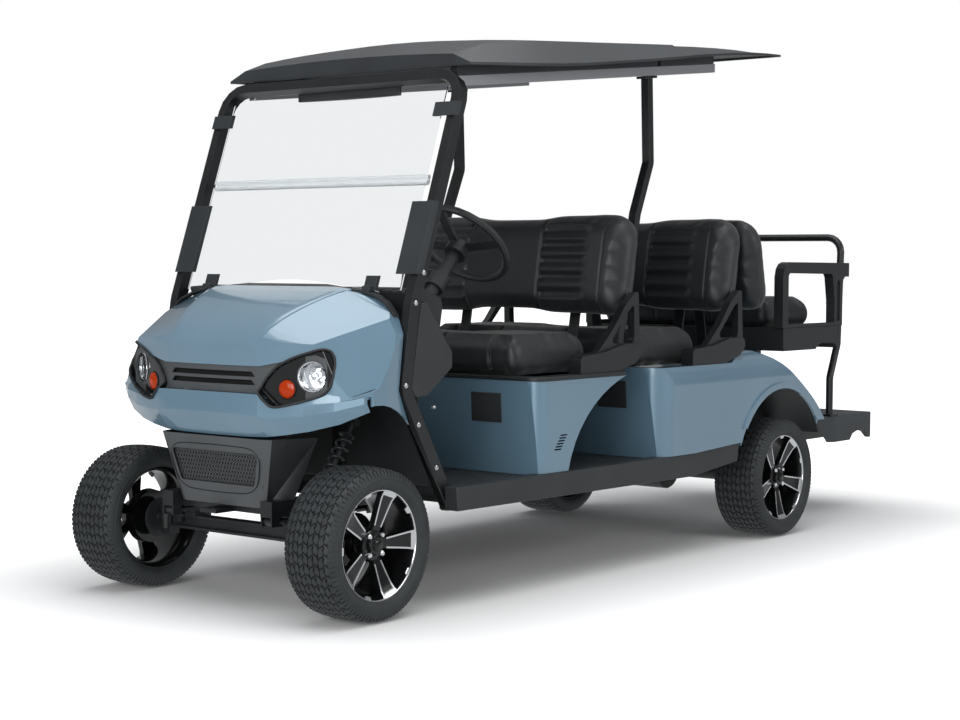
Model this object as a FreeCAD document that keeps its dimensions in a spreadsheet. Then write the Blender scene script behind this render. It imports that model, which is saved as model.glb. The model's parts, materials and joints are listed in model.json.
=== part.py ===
import FreeCAD, Part
import math
import os
import Sketcher
from FreeCAD import Placement, Rotation, Vector

# Six-seat golf cart. X points to the vehicle's left, the nose faces -Y and
# the wheels stand on Z = 0. All sizes are in millimetres.
SIZES = {
    "wheelbase": 2404, "front_track": 991, "rear_track": 1057, "rear_reach": 1098,
    "tyre_diameter": 476, "tyre_width": 205, "tread_width": 172, "bead_diameter": 320,
    "rim_lip_diameter": 346, "rim_width": 176, "rim_wall": 7, "rim_face_depth": 14,
    "spoke_count": 5, "spoke_width": 40, "hub_diameter": 92, "spindle_diameter": 28,
    "running_fit": 0.05, "seat_gap": 0.3, "clearance": 6,
    "kingpin_inset": 120, "kingpin_diameter": 20, "knuckle_diameter": 40,
    "knuckle_height": 68, "lug_thickness": 15, "beam_height": 47, "beam_width": 44,
    "steering_arm": 120, "ball_pin_diameter": 14, "link_diameter": 16,
    "link_eye_diameter": 32, "link_eye_height": 20,
    "rail_spacing": 450, "rail_width": 50, "rail_height": 50, "rail_bottom": 305,
    "frame_nose": 130, "crossmember_width": 40, "outrigger_height": 36,
    "spring_half_length": 330, "spring_front_reach": 112, "shock_diameter": 54, "leaf_width": 38, "leaf_thickness": 6,
    "spring_pad_height": 13, "hanger_plate": 5.5, "spring_pin_diameter": 10,
    "axle_tube_diameter": 64, "motor_diameter": 140, "motor_length": 330,
    "floor_thickness": 25, "floor_width": 1110, "floor_front": 336,
    "rocker_width": 52, "rocker_height": 75, "rocker_lip": 6,
    "seat_front": 782, "seat_pitch": 725, "base_width": 1196, "base_top": 700,
    "base_depth": 525, "base_foot_depth": 152, "body_wall": 5, "deck_depth": 680,
    "rear_body_width": 1228, "arch_radius": 345, "arch_depth": 240,
    "cushion_width": 1050, "cushion_depth": 480, "cushion_height": 128,
    "back_width": 1044, "back_height": 388, "back_thickness": 150,
    "back_lean": 70, "back_gap": 132, "rest_width": 52, "rest_inset": 33,
    "panel_width": 130, "panel_height": 102,
    "tail_width": 1000, "tail_height": 96, "tail_depth": 538, "tail_wall": 8,
    "tail_start": 200, "armrest_height": 274, "armrest_length": 505,
    "armrest_thickness": 44, "hoop_tube": 32, "hoop_width": 840, "hoop_top": 1216,
    "step_width": 900, "step_depth": 425, "step_top": 430, "step_drop": 116,
    "step_wall": 22, "strut_size": 32, "strut_depth": 44,
    "glass_width": 972, "glass_thickness": 5, "glass_bottom": 1004,
    "glass_split": 1361, "glass_top": 1674,
    "roof_half_mid": 606, "roof_skin": 7, "roof_rail_width": 28, "roof_rail_height": 34,
    "cowl_width": 1110, "cowl_wall": 5, "cowl_top": 1032,
    "headlamp_diameter": 98, "indicator_diameter": 58, "battery_width": 720,
    "battery_height": 230, "battery_depth": 120, "wheel_ring_diameter": 368,
    "wheel_grip": 26, "column_diameter": 44, "mirror_width": 468,
    "tow_bore": 20,
}

doc = FreeCAD.newDocument("SixSeatCart")
sheet = doc.addObject("Spreadsheet::Sheet", "Sizes")
for row, (name, value) in enumerate(SIZES.items(), 1):
    sheet.set(f"A{row}", name)
    sheet.set(f"B{row}", str(value))
    sheet.setAlias(f"B{row}", name)
doc.recompute()


class Dim:
    """A number that carries the sheet expression it comes from."""

    def __init__(self, value, text=None):
        self.value = float(value)
        self.text = text or f"({self.value:.6f})"

    def join(self, other, value, sign, swap=False):
        other = dim(other)
        a, b = (other, self) if swap else (self, other)
        return Dim(value(a.value, b.value), f"({a.text} {sign} {b.text})")

    def __add__(self, other):
        return self.join(other, lambda a, b: a + b, "+")

    def __radd__(self, other):
        return self.join(other, lambda a, b: a + b, "+", True)

    def __sub__(self, other):
        return self.join(other, lambda a, b: a - b, "-")

    def __rsub__(self, other):
        return self.join(other, lambda a, b: a - b, "-", True)

    def __mul__(self, other):
        return self.join(other, lambda a, b: a * b, "*")

    def __rmul__(self, other):
        return self.join(other, lambda a, b: a * b, "*", True)

    def __truediv__(self, other):
        return self.join(other, lambda a, b: a / b, "/")

    def __neg__(self):
        return 0 - self

    def __float__(self):
        return self.value


def dim(value):
    return value if isinstance(value, Dim) else Dim(value)


class Sizes:
    """Reads a size from the sheet, with its alias as its expression."""

    def __getattr__(self, name):
        return Dim(sheet.get(name), f"Sizes.{name}")


D = Sizes()
front_axle = -1 * (D.wheelbase / 2) - (D.rear_reach - D.tyre_diameter / 2) / 2
rear_axle = front_axle + D.wheelbase
hub_height = D.tyre_diameter / 2
rail_top = D.rail_bottom + D.rail_height
floor_top = rail_top + D.floor_thickness
seat_one = front_axle + D.seat_front
seat_two = seat_one + D.seat_pitch
kingpin_x = D.front_track / 2 - D.kingpin_inset
strut_x = D.glass_width / 2 + D.strut_size / 2 + 33
NODES = {}


def F(offset):
    """A point along Y, measured back from the front axle."""
    return front_axle + offset


def R(offset):
    """A point along Y, measured back from the rear axle."""
    return rear_axle + offset


def bind(obj, **values):
    for name, value in values.items():
        value = dim(value)
        current = getattr(obj, name)
        setattr(obj, name, int(value.value) if isinstance(current, int) else value.value)
        obj.setExpression(name, value.text)
    return obj


def bind_place(obj, x, y, z, rotation=None):
    x, y, z = dim(x), dim(y), dim(z)
    obj.Placement = Placement(Vector(float(x), float(y), float(z)), rotation or Rotation())
    for axis, value in (("x", x), ("y", y), ("z", z)):
        obj.setExpression(f"Placement.Base.{axis}", value.text)
    return obj


def node(label, obj):
    obj.Label = label
    NODES[label] = obj
    return obj


def box(x0, x1, y0, y1, z0, z1):
    obj = doc.addObject("Part::Box", "Block")
    bind(obj, Length=dim(x1) - x0, Width=dim(y1) - y0, Height=dim(z1) - z0)
    return bind_place(obj, x0, y0, z0)


TURN = {
    "x": Rotation(Vector(0, 1, 0), 90),
    "y": Rotation(Vector(1, 0, 0), -90),
    "z": Rotation(),
}


def pin(axis, x, y, z, diameter, length):
    """A true cylinder, for pins, holes and bearings."""
    obj = doc.addObject("Part::Cylinder", "Pin")
    bind(obj, Radius=dim(diameter) / 2, Height=length)
    return bind_place(obj, x, y, z, TURN[axis])


def rod(axis, x, y, z, diameter, length, sides=16):
    """A many-sided bar, for round parts that nothing turns on."""
    obj = doc.addObject("Part::Prism", "Rod")
    obj.Polygon = sides
    bind(obj, Circumradius=dim(diameter) / 2, Height=length)
    return bind_place(obj, x, y, z, TURN[axis])


def fuse(*parts):
    obj = doc.addObject("Part::MultiFuse", "Joined")
    obj.Shapes = list(parts)
    return obj


def cut(base, *tools):
    obj = doc.addObject("Part::Cut", "Trimmed")
    obj.Base = base
    obj.Tool = tools[0] if len(tools) == 1 else fuse(*tools)
    return obj


def group(*parts):
    obj = doc.addObject("Part::Compound", "Set")
    obj.Links = list(parts)
    return obj


def mirrored(part):
    obj = doc.addObject("Part::Mirroring", "Opposite")
    obj.Source = part
    obj.Normal = Vector(1, 0, 0)
    return obj


def both_sides(part):
    return group(part, mirrored(part))


def formed(shape):
    obj = doc.addObject("Part::Feature", "Formed")
    obj.Shape = shape
    return obj


def body_plane(body, role):
    return next(f for f in body.Origin.OriginFeatures if f.Role == role)


def arc_between(a, b, radius):
    """The arc from a to b, bulging to the right for a positive radius."""
    half = (b - a) * 0.5
    rise = math.sqrt(max(radius * radius - half.Length ** 2, 0.0))
    left = Vector(-half.y, half.x, 0).normalize()
    centre = a + half + left * (rise if radius > 0 else -rise)
    toward = (a + half - centre).normalize()
    return centre, centre + toward * abs(radius)


def add_loop(sketch, points):
    """Draws one closed outline. A point is (u, v) or (u, v, arc radius)."""
    flat = [Vector(float(p[0]), float(p[1]), 0) for p in points]
    ids = []
    for i, point in enumerate(points):
        a, b = flat[i], flat[(i + 1) % len(flat)]
        if len(point) == 3:
            middle = arc_between(a, b, float(point[2]))[1]
            arc = Part.Arc(a, middle, b)
            ids.append(sketch.addGeometry(arc, False))
        else:
            ids.append(sketch.addGeometry(Part.LineSegment(a, b), False))
    tips = []
    for i, point in enumerate(points):
        start = 1
        if len(point) == 3:
            curve = sketch.Geometry[ids[i]]
            if (curve.StartPoint - flat[i]).Length > 1e-6:
                start = 2
        tips.append((ids[i], start, 3 - start))
    for i in range(len(points)):
        nxt = tips[(i + 1) % len(points)]
        sketch.addConstraint(Sketcher.Constraint("Coincident", tips[i][0], tips[i][2], nxt[0], nxt[1]))
    for i, point in enumerate(points):
        for kind, value in (("DistanceX", dim(point[0])), ("DistanceY", dim(point[1]))):
            k = sketch.addConstraint(
                Sketcher.Constraint(kind, -1, 1, tips[i][0], tips[i][1], value.value))
            sketch.setExpression(f"Constraints[{k}]", value.text)
        if len(point) == 3:
            radius = dim(point[2])
            k = sketch.addConstraint(Sketcher.Constraint("Radius", ids[i], abs(radius.value)))
            sketch.setExpression(f"Constraints[{k}]", f"abs({radius.text})")


def add_circle(sketch, u, v, diameter):
    u, v, radius = dim(u), dim(v), dim(diameter) / 2
    k = sketch.addGeometry(
        Part.Circle(Vector(u.value, v.value, 0), Vector(0, 0, 1), radius.value), False)
    for kind, value in (("DistanceX", u), ("DistanceY", v)):
        j = sketch.addConstraint(Sketcher.Constraint(kind, -1, 1, k, 3, value.value))
        sketch.setExpression(f"Constraints[{j}]", value.text)
    j = sketch.addConstraint(Sketcher.Constraint("Radius", k, radius.value))
    sketch.setExpression(f"Constraints[{j}]", radius.text)


def new_body(label):
    return node(label, doc.addObject("PartDesign::Body", label))


def new_sketch(body, role, loops=(), circles=(), offset=0):
    sketch = body.newObject("Sketcher::SketchObject", "Outline")
    sketch.AttachmentSupport = (body_plane(body, role), "")
    sketch.MapMode = "FlatFace"
    offset = dim(offset)
    sketch.AttachmentOffset = Placement(Vector(0, 0, offset.value), Rotation())
    sketch.setExpression("AttachmentOffset.Base.z", offset.text)
    for loop in loops:
        add_loop(sketch, loop)
    for circle in circles:
        add_circle(sketch, *circle)
    return sketch


def pad(body, role, loops, length, offset=0, circles=()):
    sketch = new_sketch(body, role, loops, circles, offset)
    feature = body.newObject("PartDesign::Pad", "Pad")
    feature.Profile = sketch
    bind(feature, Length=length)
    return feature


def pocket(body, role, loops, length, offset=0, circles=(), reverse=False):
    sketch = new_sketch(body, role, loops, circles, offset)
    feature = body.newObject("PartDesign::Pocket", "Pocket")
    feature.Profile = sketch
    feature.Reversed = reverse
    bind(feature, Length=length)
    return feature


def mirror_in_body(body, features):
    feature = body.newObject("PartDesign::Mirrored", "Mirrored")
    feature.Originals = features
    feature.MirrorPlane = (body_plane(body, "YZ_Plane"), [""])
    body.Tip = feature
    return feature


def vec(*values):
    return Vector(*[float(v) for v in values])


def face_on(axis, at, points):
    """A face from (u, v) points on the plane where axis has the value at.
    A point (u, v, radius) starts an arc to the next one."""
    place = {
        "x": lambda u, v: Vector(at, u, v),
        "y": lambda u, v: Vector(u, at, v),
        "z": lambda u, v: Vector(u, v, at),
    }[axis]
    edges = []
    flat = [(float(p[0]), float(p[1])) for p in points]
    for i, point in enumerate(points):
        a, b = flat[i], flat[(i + 1) % len(flat)]
        if len(point) == 3:
            mid = arc_between(Vector(*a, 0), Vector(*b, 0), float(point[2]))[1]
            edges.append(Part.Arc(place(*a), place(mid.x, mid.y), place(*b)).toShape())
        else:
            edges.append(Part.LineSegment(place(*a), place(*b)).toShape())
    return Part.Face(Part.Wire(edges))


def prism(axis, start, end, points):
    """An outline on the plane across an axis, pushed from start to end."""
    start, end = float(start), float(end)
    push = {"x": Vector(1, 0, 0), "y": Vector(0, 1, 0), "z": Vector(0, 0, 1)}[axis]
    return face_on(axis, start, points).extrude(push * (end - start))


def smooth_points(points, count):
    """Points spread along a smooth curve through the given ones."""
    curve = Part.BSplineCurve()
    curve.interpolate([Vector(float(u), float(v), 0) for u, v in points])
    return [(p.x, p.y) for p in curve.discretize(count)]


def rounded(points, radii, steps=6):
    """The outline with its corners turned into short chords."""
    points = [(float(p[0]), float(p[1])) for p in points]
    out, count = [], len(points)
    for i, (u, v) in enumerate(points):
        radius = float(radii[i] if isinstance(radii, (list, tuple)) else radii)
        if not radius:
            out.append((u, v))
            continue
        here = Vector(u, v, 0)
        a = (Vector(*points[i - 1], 0) - here).normalize()
        b = (Vector(*points[(i + 1) % count], 0) - here).normalize()
        half = a.getAngle(b) / 2
        centre = here + (a + b).normalize() * (radius / math.sin(half))
        start = here + a * (radius / math.tan(half)) - centre
        end = here + b * (radius / math.tan(half)) - centre
        turn = (math.pi - 2 * half) * (1 if start.cross(end).z > 0 else -1)
        for k in range(steps + 1):
            c, s = math.cos(turn * k / steps), math.sin(turn * k / steps)
            out.append((centre.x + start.x * c - start.y * s, centre.y + start.x * s + start.y * c))
    return out


def solid_from(faces):
    shell = Part.makeShell(faces)
    shell.sewShape()
    solid = Part.makeSolid(shell)
    return solid if solid.Volume > 0 else Part.makeSolid(shell.reversed())


def rings_to_solid(rings, closed):
    """Joins rings of points into one solid with flat sides."""
    faces, count = [], len(rings[0])
    last = len(rings) if closed else len(rings) - 1
    for k in range(last):
        a, b = rings[k], rings[(k + 1) % len(rings)]
        for i in range(count):
            j = (i + 1) % count
            flat = abs((a[j] - a[i]).cross(b[j] - a[i]).dot(b[i] - a[i])) < 1e-3
            for loop in ([(a[i], a[j], b[j], b[i])] if flat else [(a[i], a[j], b[j]), (a[i], b[j], b[i])]):
                faces.append(Part.Face(Part.makePolygon([*loop, loop[0]])))
    if not closed:
        for ring in (rings[0], rings[-1]):
            faces.append(Part.Face(Part.makePolygon(ring + [ring[0]])))
    return solid_from(faces)


def turned(profile, sides):
    """A closed (x, radius) outline turned round the X axis in flat steps."""
    rings = []
    for k in range(sides):
        c, s = math.cos(2 * math.pi * k / sides), math.sin(2 * math.pi * k / sides)
        rings.append([Vector(float(x), float(r) * c, float(r) * s) for x, r in profile])
    return rings_to_solid(rings, True)


def ngon(diameter, sides):
    radius = float(diameter) / 2
    return [(radius * math.cos(2 * math.pi * (k + 0.5) / sides), radius * math.sin(2 * math.pi * (k + 0.5) / sides))
            for k in range(sides)]


def oblong(width, depth):
    w, d = float(width) / 2, float(depth) / 2
    return [(w, d), (-w, d), (-w, -d), (w, -d)]


def bend(points, radius, steps=5, closed=False):
    """Space points of a path in one plane with its turns made of short chords."""
    points = [vec(*p) for p in points]
    count, out = len(points), []
    for i, here in enumerate(points):
        if not closed and i in (0, count - 1):
            out.append(here)
            continue
        a, b = (points[i - 1] - here).normalize(), (points[(i + 1) % count] - here).normalize()
        half = a.getAngle(b) / 2
        centre = here + (a + b).normalize() * (float(radius) / math.sin(half))
        start = here + a * (float(radius) / math.tan(half)) - centre
        axis = start.cross(here + b * (float(radius) / math.tan(half)) - centre).normalize()
        for k in range(steps + 1):
            turn = Rotation(axis, math.degrees((math.pi - 2 * half) * k / steps))
            out.append(centre + turn.multVec(start))
    return out


def tube(path, section, up, closed=False):
    """A bar of one cross-section along a path, mitred at every turn."""
    count = len(path)
    runs = [(path[(i + 1) % count] - path[i]).normalize() for i in range(count if closed else count - 1)]
    side = runs[0].cross(up).normalize()
    above = side.cross(runs[0]).normalize()
    ring = [path[0] + side * u + above * v for u, v in section]

    def onto(points, centre, way, normal):
        return [p + way * ((centre - p).dot(normal) / way.dot(normal)) for p in points]

    start = (runs[-1] + runs[0]).normalize() if closed else runs[0]
    rings = [onto(ring, path[0], runs[0], start)]
    for i in range(1, count):
        way = runs[i - 1]
        normal = (way + runs[i]).normalize() if i < len(runs) else way
        rings.append(onto(rings[-1], path[i], way, normal))
    return rings_to_solid(rings, closed)


def other_side(shape):
    return shape.mirror(Vector(), Vector(1, 0, 0))


def joined(shapes):
    """One solid from shapes that touch or overlap."""
    shape = shapes[0].fuse(shapes[1:]) if len(shapes) > 1 else shapes[0]
    shape = shape.removeSplitter()
    return shape.Solids[0] if len(shape.Solids) == 1 else shape


def pair(shape):
    return Part.makeCompound([shape, other_side(shape)])


def brick(x0, x1, y0, y1, z0, z1):
    x0, x1, y0, y1, z0, z1 = [float(v) for v in (x0, x1, y0, y1, z0, z1)]
    return Part.makeBox(x1 - x0, y1 - y0, z1 - z0, Vector(x0, y0, z0))

# Wheels and tyres
def make_tyre(side, x, y):
    half, tread, outer = D.tyre_width / 2, D.tread_width / 2, D.tyre_diameter / 2
    bead = D.bead_diameter / 2 + D.rim_wall + D.seat_gap
    lip, seat_x = D.rim_lip_diameter / 2 + D.seat_gap, D.rim_width / 2 - 8 - D.seat_gap
    shape = turned([(-tread, outer), (tread, outer), (half, outer - 34), (seat_x, lip), (seat_x, bead),
                    (-seat_x, bead), (-seat_x, lip), (-half, outer - 34)], ROUND)
    shape.translate(vec(side * x, y, hub_height))
    return shape


def spoke_cut(points, x0, x1, step):
    shape = prism("x", x0, x1, points)
    shape.rotate(Vector(), Vector(1, 0, 0), 360.0 * step / int(float(D.spoke_count)))
    return shape


def make_rim(side, x, y):
    half, lip = float(D.rim_width) / 2, float(D.rim_lip_diameter) / 2
    seat, bore = float(D.bead_diameter / 2 + D.rim_wall), float(D.spindle_diameter / 2 + D.running_fit)
    hub, face = float(D.hub_diameter) / 2, half - 16
    back = face - float(D.rim_face_depth)
    shape = turned([(-half, lip), (8 - half, lip), (8 - half, seat), (half - 8, seat), (half - 8, lip),
                    (half, lip), (face, seat - 15), (face + 8, hub), (face + 8, bore - 4),
                    (back - 22, bore - 4), (back - 22, hub), (back, seat - 18), (-half, seat - 12)], ROUND)
    inner, outer, spoke = hub + 10, seat - 20, float(D.spoke_width)
    near, far = inner * 0.62 - spoke * 0.36, outer * 0.6 - spoke * 0.74
    window = [(-inner * 0.86, near), (-outer * 0.864, far), (-outer * 0.955, far * 0.5),
              (-outer * 0.955, -far * 0.5), (-outer * 0.864, -far), (-inner * 0.86, -near)]
    recess = [(hub + 16, spoke * 0.19), (hub + 16, -spoke * 0.19), (outer - 8, -spoke * 0.5), (outer - 8, spoke * 0.5)]
    tools = []
    for step in range(int(float(D.spoke_count))):
        tools.append(spoke_cut(window, -10, half + 20, step))
        tools.append(spoke_cut(recess, back + float(D.rim_face_depth) * 0.62, half + 20, step))
    tools.append(Part.makeCylinder(bore, 2 * half, Vector(-half, 0, 0), Vector(1, 0, 0)))
    shape = joined([shape.cut(tools)])
    if side < 0:
        shape.rotate(Vector(), Vector(0, 0, 1), 180)
    shape.translate(vec(side * x, y, hub_height))
    return shape


ROUND = 32
CORNERS = (("front_left", 1, D.front_track / 2, front_axle),
           ("front_right", -1, D.front_track / 2, front_axle),
           ("rear_left", 1, D.rear_track / 2, rear_axle),
           ("rear_right", -1, D.rear_track / 2, rear_axle))
for corner in CORNERS:
    node("tyre_" + corner[0], formed(make_tyre(*corner[1:])))
    node("wheel_" + corner[0], formed(make_rim(*corner[1:])))


# Steering knuckles, links and rack
arm_y = F(D.steering_arm)
arm_low, arm_high = hub_height - 15, hub_height + 12
tie_top = arm_low - 0.5
drag_bottom = arm_high + 0.5
lug_gap = D.seat_gap
knuckle_low = hub_height - D.knuckle_height / 2
knuckle_high = hub_height + D.knuckle_height / 2
lug_x = kingpin_x - D.knuckle_diameter / 2 - D.clearance
spindle_end = D.front_track / 2 + D.rim_width / 2 - 10
collar_length = D.kingpin_inset + D.rim_width / 2 - 38 - D.rim_face_depth - D.seat_gap


def make_knuckle(label, side, drag_pin):
    x = side * kingpin_x
    hub = rod("z", x, front_axle, knuckle_low, D.knuckle_diameter, D.knuckle_height)
    pin_low = knuckle_low - D.lug_thickness - 6
    king = pin("z", x, front_axle, pin_low, D.kingpin_diameter, D.knuckle_height + 2 * (D.lug_thickness + 6))
    span = spindle_end - kingpin_x
    if side > 0:
        stub = pin("x", x, front_axle, hub_height, D.spindle_diameter, span)
        collar = rod("x", x, front_axle, hub_height, D.knuckle_diameter - 6, collar_length)
        plate = rod("x", x + 30, front_axle, hub_height, D.hub_diameter + 40, 6)
    else:
        stub = pin("x", x - span, front_axle, hub_height, D.spindle_diameter, span)
        collar = rod("x", x - collar_length, front_axle, hub_height, D.knuckle_diameter - 6, collar_length)
        plate = rod("x", x - 36, front_axle, hub_height, D.hub_diameter + 40, 6)
    arm = box(x - 9, x + 9, front_axle, arm_y, arm_low, arm_high)
    eye = rod("z", x, arm_y, arm_low, D.link_eye_diameter, arm_high - arm_low)
    low = tie_top - D.link_eye_height - 3
    high = drag_bottom + D.link_eye_height + 3 if drag_pin else arm_high
    ball = pin("z", x, arm_y, low, D.ball_pin_diameter, high - low)
    node(label, fuse(hub, king, stub, collar, plate, arm, eye, ball))


make_knuckle("knuckle_left", 1, True)
make_knuckle("knuckle_right", -1, False)


def link_eye(x, z):
    return (rod("z", x, arm_y, z, D.link_eye_diameter, D.link_eye_height),
            pin("z", x, arm_y, z, D.ball_pin_diameter + 2 * D.running_fit, D.link_eye_height))


tie_bottom = tie_top - D.link_eye_height
left_eye, left_hole = link_eye(kingpin_x, tie_bottom)
right_eye, right_hole = link_eye(-kingpin_x, tie_bottom)
tie_bar = rod("x", -kingpin_x, arm_y, tie_bottom + D.link_eye_height / 2, D.link_diameter, 2 * kingpin_x, 12)
node("tie_rod", cut(fuse(left_eye, right_eye, tie_bar), left_hole, right_hole))

drag_inner = D.rail_spacing / 2 - 65
drag_z = drag_bottom + D.link_eye_height / 2
drag_eye, drag_hole = link_eye(kingpin_x, drag_bottom)
drag_bar = rod("x", drag_inner, arm_y, drag_z, D.link_diameter, kingpin_x - drag_inner, 12)
node("drag_link", cut(fuse(drag_eye, drag_bar), drag_hole))

cup_outer = D.link_diameter + 44
cup_mouth, cup_back = D.rail_spacing / 2 - 22, drag_inner - 78
cup_y = arm_y - 6
gear_case = box(cup_back - 88, cup_back, cup_y - 36, cup_y + 36, drag_z - 30, D.rail_bottom + 12)
cup = rod("x", cup_back, cup_y, drag_z, cup_outer, cup_mouth - cup_back)
cup_room = rod("x", cup_back + 8, cup_y, drag_z, cup_outer - 8, cup_mouth - cup_back)
gear_tower = rod("z", cup_back - 48, cup_y, D.rail_bottom, D.column_diameter, 70)
gear_flange = box(cup_back - 88, D.rail_spacing / 2 - D.rail_width / 2, cup_y - 30, cup_y + 30,
                  D.rail_bottom + 4, D.rail_bottom + 12)
node("steering_gear", cut(fuse(gear_case, cup, gear_tower, gear_flange), cup_room))

# Front axle beam with its two forks
beam_low = hub_height - D.beam_height / 2
beam_body = new_body("front_axle_beam")
web = 9
half_beam, wide = lug_x - 6, D.beam_width / 2
i_section = [(-wide, beam_low), (wide, beam_low), (wide, beam_low + web), (5, beam_low + web),
             (5, beam_low + D.beam_height - web), (wide, beam_low + D.beam_height - web),
             (wide, beam_low + D.beam_height), (-wide, beam_low + D.beam_height),
             (-wide, beam_low + D.beam_height - web), (-5, beam_low + D.beam_height - web),
             (-5, beam_low + web), (-wide, beam_low + web)]
pad(beam_body, "YZ_Plane", [i_section], 2 * half_beam, -half_beam)
yoke_low = knuckle_low - lug_gap - D.lug_thickness
yoke_high = knuckle_high + lug_gap + D.lug_thickness
lug_round = D.knuckle_diameter / 2
lug_features = []
for z in (yoke_low, knuckle_high + lug_gap):
    lug_features.append(pad(beam_body, "XY_Plane", [[(lug_x - 14, -lug_round), (kingpin_x, -lug_round),
                        (kingpin_x + lug_round - 6, -lug_round + 6), (kingpin_x + lug_round - 6, lug_round - 6),
                        (kingpin_x, lug_round), (lug_x - 14, lug_round)]], D.lug_thickness, z))
lug_features.append(pad(beam_body, "XY_Plane", [[(lug_x - 14, -lug_round), (lug_x, -lug_round),
                    (lug_x, lug_round), (lug_x - 14, lug_round)]], yoke_high - yoke_low, yoke_low))
pin_hole = pocket(beam_body, "XY_Plane", [], yoke_high - yoke_low + 20, yoke_high + 10,
                  circles=[(kingpin_x, 0, D.kingpin_diameter + 2 * D.running_fit)])
spring_seat = pad(beam_body, "XY_Plane", [[(D.rail_spacing / 2 - 24, -34), (D.rail_spacing / 2 + 24, -34),
                  (D.rail_spacing / 2 + 24, 34), (D.rail_spacing / 2 - 24, 34)]],
                  D.spring_pad_height, beam_low + D.beam_height)
mirror_in_body(beam_body, lug_features + [pin_hole, spring_seat])
bind_place(beam_body, 0, front_axle, 0)

# Leaf springs and their frame hangers
leaf_base = beam_low + D.beam_height + D.spring_pad_height
eye_z = leaf_base + 2.5 * D.leaf_thickness


def make_springs(label, axle, ahead):
    x = D.rail_spacing / 2
    x0, x1 = x - D.leaf_width / 2, x + D.leaf_width / 2
    leaves = []
    for i, reach in enumerate((0.3, 0.64)):
        leaves.append(box(x0, x1, axle - ahead * reach, axle + D.spring_half_length * reach,
                          leaf_base + i * D.leaf_thickness, leaf_base + (i + 1) * D.leaf_thickness))
    leaves.append(box(x0, x1, axle - ahead, axle + D.spring_half_length,
                      leaf_base + 2 * D.leaf_thickness, leaf_base + 3 * D.leaf_thickness))
    holes = []
    for y in (axle - ahead, axle + D.spring_half_length):
        leaves.append(rod("x", x0, y, eye_z, D.spring_pin_diameter + 12, D.leaf_width))
        holes.append(rod("x", x0, y, eye_z, D.spring_pin_diameter + 2 * D.seat_gap, D.leaf_width, 12))
    clamp = box(x - 24, x + 24, axle - 32, axle + 32, leaf_base + 3 * D.leaf_thickness,
                leaf_base + 3 * D.leaf_thickness + 6)
    node(label, both_sides(cut(fuse(clamp, *leaves), *holes)))


make_springs("front_springs", front_axle, D.spring_front_reach)
make_springs("rear_springs", rear_axle, D.spring_half_length)

# Front shock absorbers, leaning back to their towers on the frame
shock_x, shock_low, shock_top = 290.0, (-20.0, 274.0), (198.0, 588.0)


def make_shocks():
    fy = float(front_axle)
    low, top = Vector(shock_x, fy + shock_low[0], shock_low[1]), Vector(shock_x, fy + shock_top[0], shock_top[1])
    way = (top - low).normalize()
    def stage(a, b, diameter):
        return tube([low + way * a, low + way * b], ngon(diameter, 12), Vector(1, 0, 0))
    length = (top - low).Length
    body = joined([stage(0, length, 20), stage(30, length - 30, D.shock_diameter)])
    foot = brick(shock_x - 12, shock_x + 12, fy - 21.5, fy + 6, float(beam_low + D.beam_height) + 0.3, 284)
    head = brick(float(D.rail_spacing) / 2 + 20.3, shock_x + 14, fy + 190, fy + 214, 572, 596)
    return pair(joined([body, foot, head]))


node("front_shocks", formed(make_shocks()))

# Rear axle and its drive motor
axle_half = D.rear_track / 2 - D.rim_width / 2 - 12
rear_tube = rod("x", -axle_half, rear_axle, hub_height, D.axle_tube_diameter, 2 * axle_half, 20)
rear_shaft = pin("x", -(D.rear_track / 2 + D.rim_width / 2 - 10), rear_axle, hub_height,
                 D.spindle_diameter, 2 * (D.rear_track / 2 + D.rim_width / 2 - 10))
drums = [rod("x", side * axle_half - 12, rear_axle, hub_height, 150, 24, 24) for side in (-1, 1)]
seats = [box(side * D.rail_spacing / 2 - 24, side * D.rail_spacing / 2 + 24, rear_axle - 34,
             rear_axle + 34, hub_height, leaf_base) for side in (-1, 1)]
gearbox = rod("x", -80, rear_axle, hub_height, 170, 150, 24)
node("rear_axle", fuse(rear_tube, rear_shaft, gearbox, *drums, *seats))
motor_y = rear_axle - 85 - D.motor_diameter / 2
motor = rod("x", -D.motor_length / 2, motor_y, hub_height + 4, D.motor_diameter, D.motor_length, 24)
flange = rod("x", -D.motor_length / 2 - 14, motor_y, hub_height + 4, D.motor_diameter + 24, 14, 24)
foot = box(-60, 50, motor_y, rear_axle - 85.5, hub_height - 30, hub_height + 30)
node("drive_motor", fuse(motor, flange, foot))


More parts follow.
